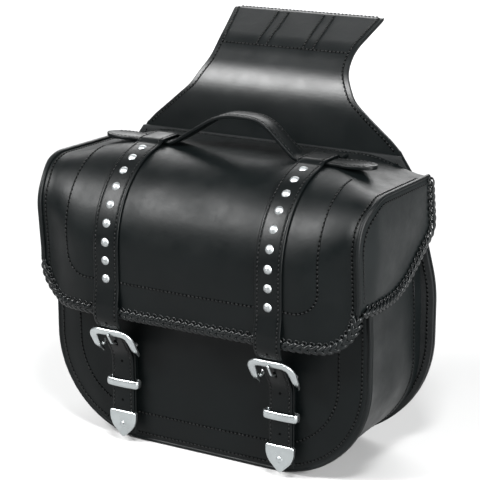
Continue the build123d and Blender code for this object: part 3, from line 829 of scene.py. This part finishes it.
def make_lid():
    """Outer skin of the lid, its lining and its seams."""
    skin = sheet("lid_skin", lid_grid(lid_columns(), 110), LID_SKIN, HIDE, "black_leather",
                 outward=(0, -0.5, 1))
    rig.replaces(skin, "lid_main_panel", "lid_hinge_strip")
    blend_lid(skin)
    inner = np.linspace(-188.0, 188.0, 60)
    lining = sheet("lid_inner_lining", lid_grid(inner, 60, LID_SKIN + 0.1, 14.0), 1.0, LINING,
                   "lining_fabric", edge=0, outward=(0, -0.5, 1))
    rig.replaces(lining, "lid_lining")
    blend_lid(lining)
    seams = Shape()
    bottom = lid_profile(0.0)[1][-1] - 36.0
    corner = smooth_path([(154.0, 92.0), (154.0, bottom), (0.0, bottom)], [28.0], 4.0)
    across = mirrored_path(corner[::-1])
    stitches(seams, *lid_line(across))
    for side in (-1, 1):
        x = side * (LID_HALF_WIDTH - 6.0)
        end = lid_profile(x)[1][-1]
        stitches(seams, *lid_line([(x, s) for s in np.arange(16.0, end - 8.0, 4.0)]))
    stitches(seams, *lid_line([(x, 6.0) for x in np.arange(-160.0, 161.0, 4.0)]))
    blend_lid(sewn("lid_seams", seams))


WING_TOP_LINE = path_by_parts(WING_TOP, WING_TOP_RADII, [40] * 5)
WING_EDGE_LINE = path_by_parts(WING_EDGE, WING_EDGE_RADII, [40] * 5)


def wing_grid(side, x_outer):
    """Wing of the lid: the space between its seam and its laced edge."""
    count = 90
    top = resample(WING_TOP_LINE, count)
    low = resample(WING_EDGE_LINE[::-1], count)
    rows = np.zeros((17, count, 3))
    for i, across in enumerate(np.linspace(0, 1, 17)):
        line = top * (1 - across) + low * across
        puff = 2.6 * math.sin(math.pi * min(1.0, across * 1.25)) ** 0.8
        fade = np.sin(np.linspace(0, math.pi, count)) ** 0.6
        rows[i, :, 0] = side * (x_outer + puff * fade)
        rows[i, :, 1:] = line
    return rows


def make_wings():
    """Side wings with the piping on their front and top seam."""
    for side, name in SIDES:
        # The wing takes the lifted side leather: painted light of the side lamp.
        wing = sheet("lid_wing_" + name + "_leather", wing_grid(side, WING_X), 3.0, SIDE_LIT_HIDE,
                     "black_leather", outward=(side, 0, 0))
        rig.replaces(wing, "lid_wing_" + name)
        blend_lid(wing)
        path = resample(WING_TOP_LINE, 160)
        cord = Shape()
        cord.cord(at_x(side * (LID_HALF_WIDTH + 1.4), inset(path, -1.0)), (side, 0.0, 0.0),
                  2.3, 2.6, sides=12)
        piping = piece("piping_" + name, cord, EDGE, "black_leather")
        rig.replaces(piping, "lid_piping_" + name)
        blend_lid(piping)
        seam = Shape()
        puffed = at_x(side * (WING_X + 0.9), inset(path, 5.5)[6:-6])
        stitches(seam, puffed, (side, 0.0, 0.0))
        blend_lid(sewn("wing_seam_" + name, seam))


def braid(shape, hole_shades, path, normals, pitch=8.2):
    """Two-strand lacing wrapped over an edge; normals point out of the leather."""
    tangent, normal, inward = frames(path, normals)
    side = -inward
    along = lengths(path)
    count = int(along[-1] / pitch)
    upper = [(-0.05, -4.6, -1.2), (0.0, -4.2, 1.3), (0.45, -2.2, 2.3), (0.95, 0.2, 2.6),
             (1.3, 1.9, 1.5)]
    lower = [(1.35, -1.6, 0.9), (1.0, 0.4, 2.3), (0.5, 2.9, 2.2), (0.1, 4.9, 0.8),
             (0.0, 5.0, -1.8), (0.1, 3.6, -3.9)]
    for index in range(count):
        base = (index + 0.3) * pitch
        for strand in (upper, lower):
            knots = resample(relaxed(resample(np.array(strand) * (pitch, 1.0, 1.0), 13), 2), 9)
            centres = []
            ups = []
            for ds, b, n in knots:
                p, out, down = spot(min(max(base + ds, 0.0), along[-1]), along, path, normal, side)
                centres.append(p + down * b + out * n)
                ups.append(out + down * (0.5 if b > 3.5 else 0.0))
            shape.cord(np.array(centres), np.array(ups), 2.05, 0.95)
        p, t, out, down = spot(base - 0.12 * pitch, along, path, tangent, normal, side)
        middle = p - down * 5.4 + out * 0.5
        turn = np.linspace(0, 2 * math.pi, 14, endpoint=False)
        around_hole = np.array([t * math.cos(a) - down * math.sin(a) for a in turn])
        shape.sweep(middle + 2.35 * around_hole, around_hole, np.broadcast_to(out, (14, 3)),
                    [(0.75, -0.5), (0.75, 0.2), (0.0, 0.75), (-0.75, 0.2), (-0.75, -0.5)],
                    closed=True)
        # Dark disc of painted shade at the lacing hole.
        disc(hole_shades, middle, out, t, 1.8, 1.8)


def make_braid():
    """Laced edge of the lid front and of both wings."""
    lace = Shape()
    hole_shades = Shape()
    xs = np.concatenate([np.linspace(-LID_HALF_WIDTH, -158.0, 40)[:-1],
                         np.linspace(-158.0, 158.0, 80),
                         np.linspace(158.0, LID_HALF_WIDTH, 40)[1:]])
    stops = [lid_profile(x)[1][-1] for x in xs]
    path = np.array([lid_point(x, stop) for x, stop in zip(xs, stops)])
    normals = np.array([lid_frame(x, stop - 1.5)[1] for x, stop in zip(xs, stops)])
    braid(lace, hole_shades, path[::-1], normals[::-1])
    for side, name in SIDES:
        centres = at_x(side * (WING_X + 1.2), resample(WING_EDGE_LINE, 150)[2:])
        if side < 0:
            centres = centres[::-1]
        braid(lace, hole_shades, centres[::-1], (side, 0.0, 0.0))
    made = piece("lid_lacing", lace, LACE, "lacing_leather")
    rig.replaces(made, "front_braid", "wing_braid_left", "wing_braid_right")
    blend_lid(made)
    # Dark discs of painted shade, one at each lacing hole of the braid.
    blend_lid(piece("lacing_hole_shade", hole_shades, HOLE_SHADE, "lacing_leather"))


# ------------------------------------------------------------------ bag body
FRONT = mirrored_path(path_by_parts(FRONT_PATH, FRONT_RADII, [14, 60, 14, 14, 18]))
BACK = mirrored_path(path_by_parts(BACK_PATH, BACK_RADII, [14, 60, 14, 24, 14, 8, 6]))
YOKE = smooth_path(YOKE_PATH, YOKE_RADII, 3.5)
YOKE_SIDE = smooth_path(YOKE_OUTLINE, YOKE_OUTLINE_RADII, 2.0)
YOKE_HALF = 1.7
YOKE_SEAM = 6.0
YOKE_CROSS_Z = 428.0
YOKE_ROWS_X = (-36.0, -23.0, 23.0, 36.0)
PATCHES_X = (-59.0, 0.0, 59.0)
YOKE_CORNER = 14.0


def right_edge(outline):
    """Right half of an outline, from the end of its flat bottom."""
    right = outline[outline[:, 0] >= -1e-6]
    flat = right[:, 1] <= right[:, 1].min() + 1e-6
    return right[np.argmax(np.where(flat, right[:, 0], -1)):]


def edge_distance(points, dense):
    """Distance of (x, z) points to the nearest point of a dense outline."""
    return np.sqrt(((dense[None] - points[:, None]) ** 2).sum(2)).min(1)


def panel_grid(outline, y, columns=49, rows=64, shape=None):
    """Grid of a flat panel inside a D outline; shape moves y by place and edge distance."""
    curve = resample(right_edge(outline), rows)
    spread = np.sin(np.linspace(-math.pi / 2, math.pi / 2, columns))
    grid = np.zeros((rows, columns, 3))
    dense = resample(outline, 500)
    for i, (width, z) in enumerate(curve):
        x = width * spread
        grid[i, :, 0] = x
        grid[i, :, 2] = z
        edge = edge_distance(np.stack([x, np.full_like(x, z)], 1), dense)
        grid[i, :, 1] = y + (0.0 if shape is None else shape(x, z, edge))
    return grid


def front_relief(x, z, edge):
    """Rolled rim and a soft belly between the straps."""
    belly = (1 - eased(np.abs(x) / 82.0)) * math.sin(math.pi * min(max(z / 270.0, 0.0), 1.0))
    sides = eased((np.abs(x) - 122.0) / 24.0) * eased(edge / 30.0)
    waves = np.array([noise.noise(Vector((a / 70.0, 5.0, z / 70.0))) for a in x])
    rolled = 2.2 * (1 - eased(edge / 6.5)) + 2.6 * (1 - eased(edge / 38.0))
    return rolled - 2.6 * belly - 1.2 * sides * (0.6 + waves)


def around(outline, amount, y):
    """3-D line round an outline, moved inwards by amount."""
    return at_y(y, inset(outline, amount))


def on_front(line):
    """Points of an (x, z) line on the front panel."""
    edge = edge_distance(line, resample(FRONT, 500))
    depth = [float(front_relief(np.array([x]), z, np.array([e]))[0])
             for (x, z), e in zip(line, edge)]
    return at_y(FRONT_Y + np.array(depth), line)


def make_front():
    """Front panel with its seams, the welt round it, its lining and the bound mouth."""
    panel = sheet("front_leather", panel_grid(FRONT, FRONT_Y, 61, 80, front_relief), 3.2, HIDE,
                  "black_leather", outward=(0, -1, 0))
    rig.replaces(panel, "front_panel")
    lining = sheet("front_inner_lining", panel_grid(inset(FRONT, 8.0), FRONT_Y + 3.3), 0.9,
                   LINING, "lining_fabric", edge=0, outward=(0, -1, 0))
    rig.replaces(lining, "front_lining")
    welt = Shape()
    for y, outset, radius in ((-89.3, -0.6, 2.2), (-85.6, -0.3, 2.0)):
        welt.cord(resample(around(FRONT, -outset, y), 260), FORWARD, radius, radius,
                  sides=10)
    welt.cord(resample(around(FRONT, 3.2, -88.2), 260), FORWARD, 3.4, 2.6, sides=10,
              power=0.5)
    cord = piece("front_welt_cord", welt, EDGE, "edge_leather")
    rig.replaces(cord, "front_welt")
    seams = Shape()
    low = FRONT[FRONT[:, 1] < 262.0]
    stitches(seams, resample(on_front(inset(low, 7.6)), 300), FORWARD)
    line = inset(FRONT, 33.0)
    line = line[line[:, 1] < 215.0]
    stitches(seams, resample(on_front(line), 260), FORWARD)
    threads = sewn("front_seams", seams)
    mouth = Shape()
    mouth.cord(level(190.0, -91.9, 270.4, 60), (0.0, 0.0, 1.0), 3.3, 4.4, sides=14, power=0.55)
    binding = piece("mouth_edge", mouth, EDGE, "black_leather", sharp=50)
    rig.replaces(binding, "mouth_binding")
    ride_all("bag", panel, lining, cord, threads, binding)


def gusset_grid(amount, y0, y1, rows, sag):
    """Grid of a band that runs round the bag between front and back."""
    line = resample(inset(FRONT, amount), 150)
    normal = inset(line, 1.0) - line
    grid = np.zeros((rows, len(line), 3))
    for i, part in enumerate(np.linspace(0, 1, rows)):
        y = y0 + (y1 - y0) * part
        dip = np.array([sag * math.sin(math.pi * part) ** 0.7
                        * (0.9 + 1.3 * noise.noise(Vector((a / 75.0, y / 60.0, b / 75.0))))
                        * eased((b - 2.0) / 60.0) for a, b in line])
        grid[i] = at_y(y, line + normal * dip[:, None])
    return grid


def make_gusset():
    """Gusset, the tape over its rear seam and the rows of stitches beside both seams."""
    grid = gusset_grid(1.5, -88.0, 40.0, 34, 2.2)
    # The gusset takes the lifted side leather: painted light of the side lamp.
    band = sheet("gusset_leather", grid, 3.0, SIDE_LIT_HIDE, "black_leather", outward=(0, 0, -1))
    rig.replaces(band, "gusset")
    tape = sheet("rear_tape", gusset_grid(4.6, 26.0, 39.9, 5, 0.0), 1.6, LINING, "seam_tape",
                 edge=0, outward=(0, 0, -1))
    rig.replaces(tape, "rear_seam_tape")
    seams = Shape()
    for row in (2, 29):
        flat = grid[row][:, [0, 2]]
        stitches(seams, grid[row], at_y(0.0, flat - inset(flat, 1.0)))
    ride_all("bag", band, tape, sewn("gusset_seams", seams))


def yoke_half_width(z):
    """Half width of the yoke at a height."""
    return float(np.interp(z, YOKE_SIDE[:, 1], YOKE_SIDE[:, 0]))


def make_back():
    """Back panel layers, with the outer leather running on into the yoke."""
    inner = sheet("back_inner_sheet", panel_grid(BACK, BACK_Y), 3.3, DULL, "dull_leather",
                  outward=(0, -1, 0))
    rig.replaces(inner, "back_inner_leather")
    curve = resample(right_edge(BACK), 90)
    rear = inset(YOKE, -YOKE_HALF)
    rear = resample(rear, 3 * len(rear))
    to_end = np.clip(lengths(rear)[-1] - lengths(rear), 0.0, YOKE_CORNER)
    cut = YOKE_CORNER - np.sqrt(YOKE_CORNER ** 2 - (YOKE_CORNER - to_end) ** 2)
    rows = [(50.05, z, width) for width, z in curve]
    rows += [(y, z, yoke_half_width(z) - c) for (y, z), c in zip(rear, cut)]
    rows = np.array(rows)
    rows[:, 2] = relaxed(rows[:, 2:3], 2)[:, 0]
    spread = np.sin(np.linspace(-math.pi / 2, math.pi / 2, 45) * 0.9) / math.sin(math.pi * 0.45)
    grid = np.zeros((len(rows), 45, 3))
    grid[:, :, 0] = rows[:, 2:3] * spread
    grid[:, :, 1] = rows[:, 0:1]
    grid[:, :, 2] = rows[:, 1:2]
    outer = sheet("back_and_yoke_leather", grid, 2 * YOKE_HALF, YOKE_HIDE, "black_leather",
                  outward=(0, 1, 0))
    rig.replaces(outer, "back_outer_leather", "yoke_leather", "yoke_backing")
    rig.blend(outer, "bag", "yoke", **ends(YOKE_BEND))
    rim = Shape()
    for line in (resample(around(BACK, 4.3, 45.0), 260), level(160.0, 45.0, 325.7, 40)):
        rim.cord(line, BACKWARD, 3.9, 1.9, sides=10, power=0.5)
    filler = piece("back_rim", rim, EDGE, "edge_leather")
    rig.replaces(filler, "back_edge_filler")
    seams = Shape()
    for y, normal in ((50.05, 1.0), (BACK_Y, -1.0)):
        stitches(seams, resample(around(BACK, 6.0, y), 320), (0.0, normal, 0.0))
    stitches(seams, level(152.0, 50.05, 318.0, 80), BACKWARD)
    ride_all("bag", inner, filler, sewn("back_seams", seams))
    make_yoke_seams()


def make_yoke_seams():
    """Stitching and hook-and-loop patches of the yoke."""
    seams = Shape()
    for face in (1.0, -1.0):
        skin = inset(YOKE, face * YOKE_HALF)
        normal = inset(YOKE, face * (YOKE_HALF + 1.0)) - skin
        edge = np.array([yoke_half_width(z) - YOKE_SEAM for z in YOKE[:-3, 1]])
        for side in (-1, 1):
            stitches(seams, at_x(side * edge, skin[:-3]), at_x(0.0, normal[:-3]))
        cross = int(np.argmin(np.abs(skin[:len(skin) * 3 // 4, 1] - YOKE_CROSS_Z)))
        for index in (cross, len(skin) - 4):
            width = yoke_half_width(YOKE[index, 1]) - YOKE_SEAM
            stitches(seams, level(width, *skin[index], 60), (0.0, *normal[index]))
        for x in YOKE_ROWS_X:
            stitches(seams, at_x(x, skin[cross:-4]), at_x(0.0, normal[cross:-4]))
    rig.blend(sewn("yoke_seams", seams), "bag", "yoke", **ends(YOKE_BEND))
    patches = Shape()
    low, high = YOKE_PATH[2], YOKE_PATH[3]
    for middle in PATCHES_X:
        line = np.array([(middle, low[0] + t * (high[0] - low[0]), low[1] + t * (high[1] - low[1]))
                         for t in np.linspace(0.31, 0.85, 12)])
        _, up, across = frames(line, (0.0, 30.0, -55.0))
        line = line + up * 2.6
        patches.tube(line, across, up, 22.5, 0.9, sides=20, power=0.25)
    made = piece("hook_patches", patches, HOOKS, "hook_and_loop", sharp=50)
    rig.replaces(made, "yoke_hook_patches")
    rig.ride(made, "yoke")


# ------------------------------------------------------------------ straps
def strap_section(width, thick):
    """Strap section with burnished edges and a stitch groove near both of them."""
    half = [(0.0, thick + 0.25), (width - 6.0, thick + 0.2), (width - 4.2, thick),
            (width - 3.5, thick - 0.35), (width - 2.8, thick), (width - 1.6, thick),
            (width - 0.7, thick - 0.3), (width - 0.1, thick - 0.9), (width, thick * 0.5),
            (width - 0.1, 0.8), (width - 0.7, 0.2), (width - 1.6, 0.0)]
    return half + [(-x, u) for x, u in half[:0:-1]]


def strap_line():
    """Back face of a whole strap from the top of the lid to the tail's end, as (y, z)."""
    middle = MIDDLE
    rear = middle[(middle[:, 0] <= 15.0) & (middle[:, 0] > 6.0) & (middle[:, 1] > 300.0)]
    bridge = [(6.0, 329.55), (-3.0, 329.55), (-8.5, 334.2), (-39.5, 334.2), (-47.0, 329.4),
              (-51.0, 328.85)]
    bridge = path_by_parts(bridge, [3.0, 3.0, 3.0, 6.0], [4] * 9)
    front = middle[(middle[:, 0] < -53.0) & (middle[:, 1] > 189.0)]
    tail = path_by_parts(TAIL_PATH, [18.0, 30.0], [8, 10, 10, 12, 30])
    line = np.concatenate([rear, bridge, front, tail])
    line = resample(line, 330)
    return relaxed(line, 2)


STRAP_LINE = strap_line()


def strap_width(z, y):
    """Half width of the strap, narrower on the tail and pointed at its end."""
    if y > -90.0:
        return STRAP_HALF
    width = STRAP_HALF - 1.8 * float(eased((150.0 - z) / 14.0))
    return min(width, max(1.0, (z - 8.5) * 14.0 / 13.5)) if z < 24.0 else width


def buckle_point(side, across, v, w):
    """Point in the buckle's own plane on the slanted tail."""
    (y0, z0), (y1, z1) = TAIL_PATH[1:3]
    length = math.hypot(y1 - y0, z1 - z0)
    up = ((y0 - y1) / length, (z0 - z1) / length)
    y = y0 + (y1 - y0) * (z0 - BUCKLE_Z) / (z0 - z1)
    return np.array([side * STRAP_X + across, y + v * up[0] - w * up[1],
                     BUCKLE_Z + v * up[1] + w * up[0]])


def to_strap(made, side_name):
    """Bends a strap piece where it leaves the lid."""
    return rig.blend(made, "lid", "strap_" + side_name, **ends(STRAP_BEND))


def make_strap(side, name):
    """One continuous strap with its stitches, and a dark disc of painted shade at each punched hole and at the prong's
    slot.
    """
    line = STRAP_LINE
    centres = at_x(side * STRAP_X, line)
    up = at_x(0.0, line - inset(line, 1.0))
    across = np.broadcast_to(np.array(SIDEWAYS), centres.shape)
    widths = np.array([strap_width(z, y) for y, z in line])
    strap = Shape()
    strap.sweep(centres, across, up, strap_section(STRAP_HALF, STRAP_THICKNESS),
                widths / STRAP_HALF)
    made = piece("strap_" + name + "_leather", strap, STRAP, "strap_leather", sharp=60)
    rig.replaces(made, "strap_upper_" + name, "strap_lower_" + name)
    to_strap(made, name)
    seams = Shape()
    keep = (line[:, 1] > 26.0) | (line[:, 0] > -90.0)
    for hand in (-1, 1):
        edge = centres[keep] + up[keep] * (STRAP_THICKNESS - 0.25)
        edge[:, 0] += hand * (widths[keep] - 3.5 * widths[keep] / STRAP_HALF)
        stitches(seams, edge, up[keep], width=0.8)
    threads = sewn("strap_" + name + "_seams", seams)
    to_strap(threads, name)
    hole_shades = Shape()
    # Dark discs of painted shade at each punched hole and at the prong's slot.
    for z in STRAP_HOLES_Z:
        index = int(np.argmin(np.abs(line[:, 1] - z) + (line[:, 0] > -90.0) * 1000))
        disc(hole_shades, centres[index] + up[index] * (STRAP_THICKNESS + 0.25), up[index],
             across[index], 1.5, 1.5, above=0.05)
    slot = buckle_point(side, 0.0, -0.5, STRAP_THICKNESS + 0.27)
    out = buckle_point(side, 0.0, -0.5, STRAP_THICKNESS + 1.27) - slot
    disc(hole_shades, slot, out, across[0], 2.2, 5.0, above=0.05, sides=18)
    hole_shade_piece = piece("strap_" + name + "_hole_shade", hole_shades, HOLE_SHADE, "strap_leather")
    to_strap(hole_shade_piece, name)


def make_chape(side, name):
    """Short strap behind the tail, folded round the buckle bar."""
    x = side * STRAP_X
    bar_v, bar_w, gap, thick = *BUCKLE_BAR, CHAPE_GAP, CHAPE_THICKNESS
    radius = -bar_w - gap - thick / 2
    line = [buckle_point(side, 0.0, bar_v - 11.0 + t, bar_w - radius) for t in (0.0, 4.0, 8.0)]
    line += [buckle_point(side, 0.0, bar_v + radius * math.sin(a), bar_w - radius * math.cos(a))
             for a in np.linspace(0, math.pi, 10)]
    tail = path_by_parts(TAIL_PATH[1:3] + [(TAIL_PATH[3][0], 12.0)], [30.0], [30, 14, 30])
    tail = inset(tail, gap + thick / 2)
    line += [np.array([x, y, z]) for y, z in tail if z < 109.5]
    line = np.array(line)
    line[:, 0] = x
    line = relaxed(resample(line, 90), 2)
    tangent = np.gradient(line, axis=0)
    up = np.cross(tangent, SIDEWAYS)
    up /= np.linalg.norm(up, axis=1)[:, None]
    across = np.broadcast_to(np.array(SIDEWAYS), line.shape)
    shape = Shape()
    half = thick / 2
    section = [(15.0, -half + 0.7), (15.0, half - 0.7), (14.3, half), (-14.3, half),
               (-15.0, half - 0.7), (-15.0, -half + 0.7), (-14.3, -half), (14.3, -half)]
    shape.sweep(line, across, up, section)
    made = piece("chape_" + name + "_leather", shape, STRAP, "strap_leather", sharp=40)
    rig.replaces(made, "chape_" + name)
    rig.ride(made, "strap_" + name)


def make_buckle(side, name):
    """Rounded horseshoe frame whose legs taper back to the bar's lugs."""
    outer = smooth_path([(-25.0, -19.5), (-28.2, -4.0), (-27.5, 24.4), (27.5, 24.4),
                         (28.2, -4.0), (25.0, -19.5)], [12.0, 15.0, 15.0, 12.0], 1.0)
    inner = smooth_path([(-21.5, -18.0), (-20.3, -2.0), (-19.5, 15.2), (19.5, 15.2),
                         (20.3, -2.0), (21.5, -18.0)], [8.0, 7.5, 7.5, 8.0], 1.0)
    outer = resample(outer, 90)
    inner = resample(inner, 90)
    middle = (outer + inner) / 2
    half = np.linalg.norm(outer - inner, axis=1) / 2
    along = lengths(middle)
    near_end = np.minimum(along, along[-1] - along)
    taper = 0.30 + 0.70 * eased((near_end + 1.0) / 15.0)
    back = 3.4 * (1 - eased(near_end / 16.0))
    shape = Shape()
    centres = np.array([buckle_point(side, a, v, 5.45 - b)
                        for (a, v), b in zip(middle, back)])
    out = buckle_point(side, 0, 0, 1.0) - buckle_point(side, 0, 0, 0.0)
    shape.cord(centres, out, half * taper, 2.15 * (0.55 + 0.45 * taper), sides=20, power=0.8)
    for hand in (-1, 1):
        lug = np.array([buckle_point(side, hand * (18.6 + 2.4 * max(w, 0.0) / 3.6), v, w)
                        for w, v in ((-6.3, -8.0), (-4.4, -8.0), (-2.0, -7.8), (1.0, -7.4),
                                     (3.6, -7.0))])
        _, up, across = frames(lug, SIDEWAYS)
        shape.tube(relaxed(resample(lug, 12), 1), *[np.broadcast_to(v[0], (12, 3))
                                                    for v in (across, up)],
                   1.9, 1.8, sides=12, power=0.8)
    made = piece("buckle_" + name + "_cast", shape, NICKEL, "satin_nickel")
    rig.replaces(made, "buckle_frame_" + name)
    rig.ride(made, "strap_" + name)


def make_keeper(side, name):
    """Metal loop round tail and chape with a bulged front."""
    x = side * STRAP_X
    room = KEEPER_GAP + KEEPER_WALL
    back = TAIL_PATH[3][0] + CHAPE_GAP + CHAPE_THICKNESS + room
    front = TAIL_PATH[3][0] - STRAP_THICKNESS - room
    loop = path_by_parts([(0.0, back), (KEEPER_HALF, back), (KEEPER_HALF, front),
                          (0.0, front)], [2.2, 3.0], [12, 8, 6, 8, 14])
    loop = np.concatenate([loop, (loop * (-1.0, 1.0))[::-1][1:-1]])
    bulge = 1.5 * (1 - (loop[:, 0] / KEEPER_HALF) ** 2) * (loop[:, 1] < front + 1.5)
    centres = np.stack([x + loop[:, 0], loop[:, 1] - bulge, np.full(len(loop), KEEPER_Z)], 1)
    middle = np.array([x, (front + back) / 2, KEEPER_Z])
    tangent = np.roll(centres, -1, 0) - np.roll(centres, 1, 0)
    tangent /= np.linalg.norm(tangent, axis=1)[:, None]
    across = np.broadcast_to(np.array([0.0, 0.0, 1.0]), centres.shape)
    up = np.cross(tangent, across)
    flip = np.sign(((centres - middle) * up).sum(1))
    up = up * flip[:, None]
    section = [(4.0, -0.75), (4.45, -0.3), (4.5, 0.1), (4.1, 0.6), (2.8, 1.1), (0.0, 1.35),
               (-2.8, 1.1), (-4.1, 0.6), (-4.5, 0.1), (-4.45, -0.3), (-4.0, -0.75)]
    shape = Shape()
    shape.sweep(centres, across, up, section, closed=True)
    made = piece("keeper_" + name + "_band", shape, NICKEL, "satin_nickel", sharp=60)
    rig.replaces(made, "keeper_" + name)
    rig.ride(made, "keeper_" + name)


def make_pad(side, name):
    """Stitched leather pad under the hidden magnet."""
    x = side * STRAP_X
    line = np.array([(x, -95.2, z) for z in np.linspace(74.0, 106.0, 12)])
    shape = Shape()
    shape.cord(line, FORWARD, 12.8, 1.25, sides=20, power=0.3)
    made = piece("snap_pad_" + name + "_leather", shape, STRAP, "strap_leather", sharp=50)
    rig.replaces(made, "snap_pad_" + name)
    seams = Shape()
    loop = np.array([(x - 10.5, -96.4, 77.0), (x + 10.5, -96.4, 77.0), (x + 10.5, -96.4, 103.0),
                     (x - 10.5, -96.4, 103.0), (x - 10.5, -96.4, 77.0)])
    for start, end in zip(loop, loop[1:]):
        stitches(seams, np.linspace(start, end, 10), FORWARD)
    ride_all("bag", made, sewn("snap_pad_" + name + "_seams", seams))


# ------------------------------------------------------------------ handle
def handle_width(x):
    """Half width of the handle band, with its rounded leaf ends."""
    leaf = 15.5 * math.sqrt(max(0.0, 1 - ((abs(x) - 142.0) / 26.0) ** 2))
    return max(leaf, 13.0) if abs(x) < 142.0 else max(leaf, 0.4)


def make_handle():
    """Two-layer stitched handle, split under the middle of the grip."""
    path = path_by_parts(HANDLE_PATH, HANDLE_RADII, [26, 12, 14, 16, 12, 16, 14, 12, 26])
    path = resample(path, 241)
    section = [(0.0, 4.15), (8.6, 4.1), (9.4, 3.8), (10.1, 4.0), (11.7, 3.95), (12.6, 3.6),
               (13.0, 2.9), (12.9, 2.2), (12.55, 2.0), (12.9, 1.8), (13.0, 1.1), (12.6, 0.3),
               (11.7, 0.0)]
    section = section + [(-a, b) for a, b in section[:0:-1]]
    lean = HANDLE_LEAN * np.clip((path[:, 1] - 331.0) / 38.0, 0.0, 1.0)
    centres = at_y(HANDLE_Y, np.stack([path[:, 0] + lean, path[:, 1]], 1))
    up = at_y(0.0, inset(path, 1.0) - path)
    across = np.broadcast_to(np.array([0.0, 1.0, 0.0]), centres.shape)
    widths = np.array([handle_width(x) for x in path[:, 0]])
    for side, name in SIDES:
        keep = path[:, 0] * side >= -1e-6
        shape = Shape()
        shape.sweep(centres[keep], across[keep], up[keep], section, widths[keep] / 13.0)
        made = piece("handle_" + name + "_leather", shape, STRAP, "strap_leather", sharp=50)
        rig.replaces(made, "handle_end_" + name, "handle_grip")
        seams = Shape()
        inner = keep & (np.abs(path[:, 0]) < 160.0)
        for hand in (-1, 1):
            edge = centres[inner] + up[inner] * 3.85
            edge[:, 1] += hand * (widths[inner] - 3.6)
            stitches(seams, edge, up[inner], width=0.7, lift=0.15)
        threads = sewn("handle_" + name + "_seams", seams)
        bend = [(side * x, HANDLE_Y, 335.0) for x in HANDLE_BEND_X]
        for item in (made, threads):
            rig.blend(item, "lid", "handle", **ends(bend))


make_lid()
make_wings()
make_braid()
make_front()
make_gusset()
make_back()
for strap_side, strap_name in SIDES:
    make_strap(strap_side, strap_name)
    make_chape(strap_side, strap_name)
    make_buckle(strap_side, strap_name)
    make_keeper(strap_side, strap_name)
    make_pad(strap_side, strap_name)
make_handle()


# ------------------------------------------------------------------ studio
FLOOR_HALF = 6.0
LENS = 127.5
SENSOR = 36.0
AZIMUTH = 30.0
ELEVATION = 16.06
DISTANCE = 1.8874
TARGET_OFFSET = (-0.00445, -0.016, -0.005)
LIGHT_AIM = (0.0, -0.02, 0.25)
# name, place, aim, edge length in metres, watts
LIGHTS = (("key", (-1.0, -1.25, 1.5), LIGHT_AIM, 0.8, 115),
          ("side", (1.75, -0.75, 0.8), LIGHT_AIM, 0.8, 115),
          ("top", (0.6, -0.9, 1.7), LIGHT_AIM, 0.35, 42),
          ("backdrop", (-1.4, 3.5, 2.2), (-1.4, 3.5, 0.0), 3.6, 380))


def area_light(name, place_at, aim, size, energy):
    """Soft square light."""
    data = bpy.data.lights.new(name, "AREA")
    data.shape = "RECTANGLE"
    data.size = size
    data.size_y = size
    data.energy = energy
    lamp = linked(name, data)
    lamp.location = place_at
    lamp.rotation_euler = (Vector(aim) - Vector(place_at)).to_track_quat("-Z", "Y").to_euler()


def make_studio():
    """Pale floor, soft light and the camera."""
    centre = (cad_low + cad_high) / 2
    floor_mesh = bpy.data.meshes.new("studio_floor")
    reach = FLOOR_HALF
    corners = ((-reach, -reach), (reach, -reach), (reach, reach), (-reach, reach))
    floor_mesh.from_pydata([(x, y, cad_low.z - 0.001) for x, y in corners], [], [(0, 1, 2, 3)])
    pale = Nodes("pale_floor")
    tone = pale.noise(3.0, 3.0, 0.5)
    pale.link(pale.mix(tone, (0.31, 0.31, 0.31), (0.33, 0.33, 0.33)),
              pale.shader.inputs["Base Color"])
    pale.set(Roughness=0.9)
    floor_mesh.materials.append(pale.material)
    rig.stage(linked("studio_floor", floor_mesh))
    world_light = bpy.data.worlds.new("studio")
    world_light.use_nodes = True
    sky = world_light.node_tree.nodes["Background"].inputs
    sky["Color"].default_value = (0.94, 0.97, 1, 1)
    sky["Strength"].default_value = 0.22
    bpy.context.scene.world = world_light
    for name, spot_at, aim, size, energy in LIGHTS:
        area_light(name, spot_at, aim, size, energy)
    camera_data = bpy.data.cameras.new("camera")
    camera_data.lens = LENS
    camera_data.sensor_width = SENSOR
    camera = linked("camera", camera_data)
    target = centre + Vector(TARGET_OFFSET)
    azimuth = math.radians(AZIMUTH)
    elevation = math.radians(ELEVATION)
    away = Vector((math.sin(azimuth) * math.cos(elevation),
                   -math.cos(azimuth) * math.cos(elevation), math.sin(elevation)))
    camera.location = target + away * DISTANCE
    camera.rotation_euler = (-away).to_track_quat("-Z", "Y").to_euler()
    bpy.context.scene.camera = camera
    bpy.context.scene.view_settings.view_transform = "Standard"


make_studio()

new_low, new_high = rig.bounds()
with open("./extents.json", "w") as sizes:
    json.dump({"cad": [list(cad_low), list(cad_high)], "visual": [list(new_low), list(new_high)]},
              sizes)
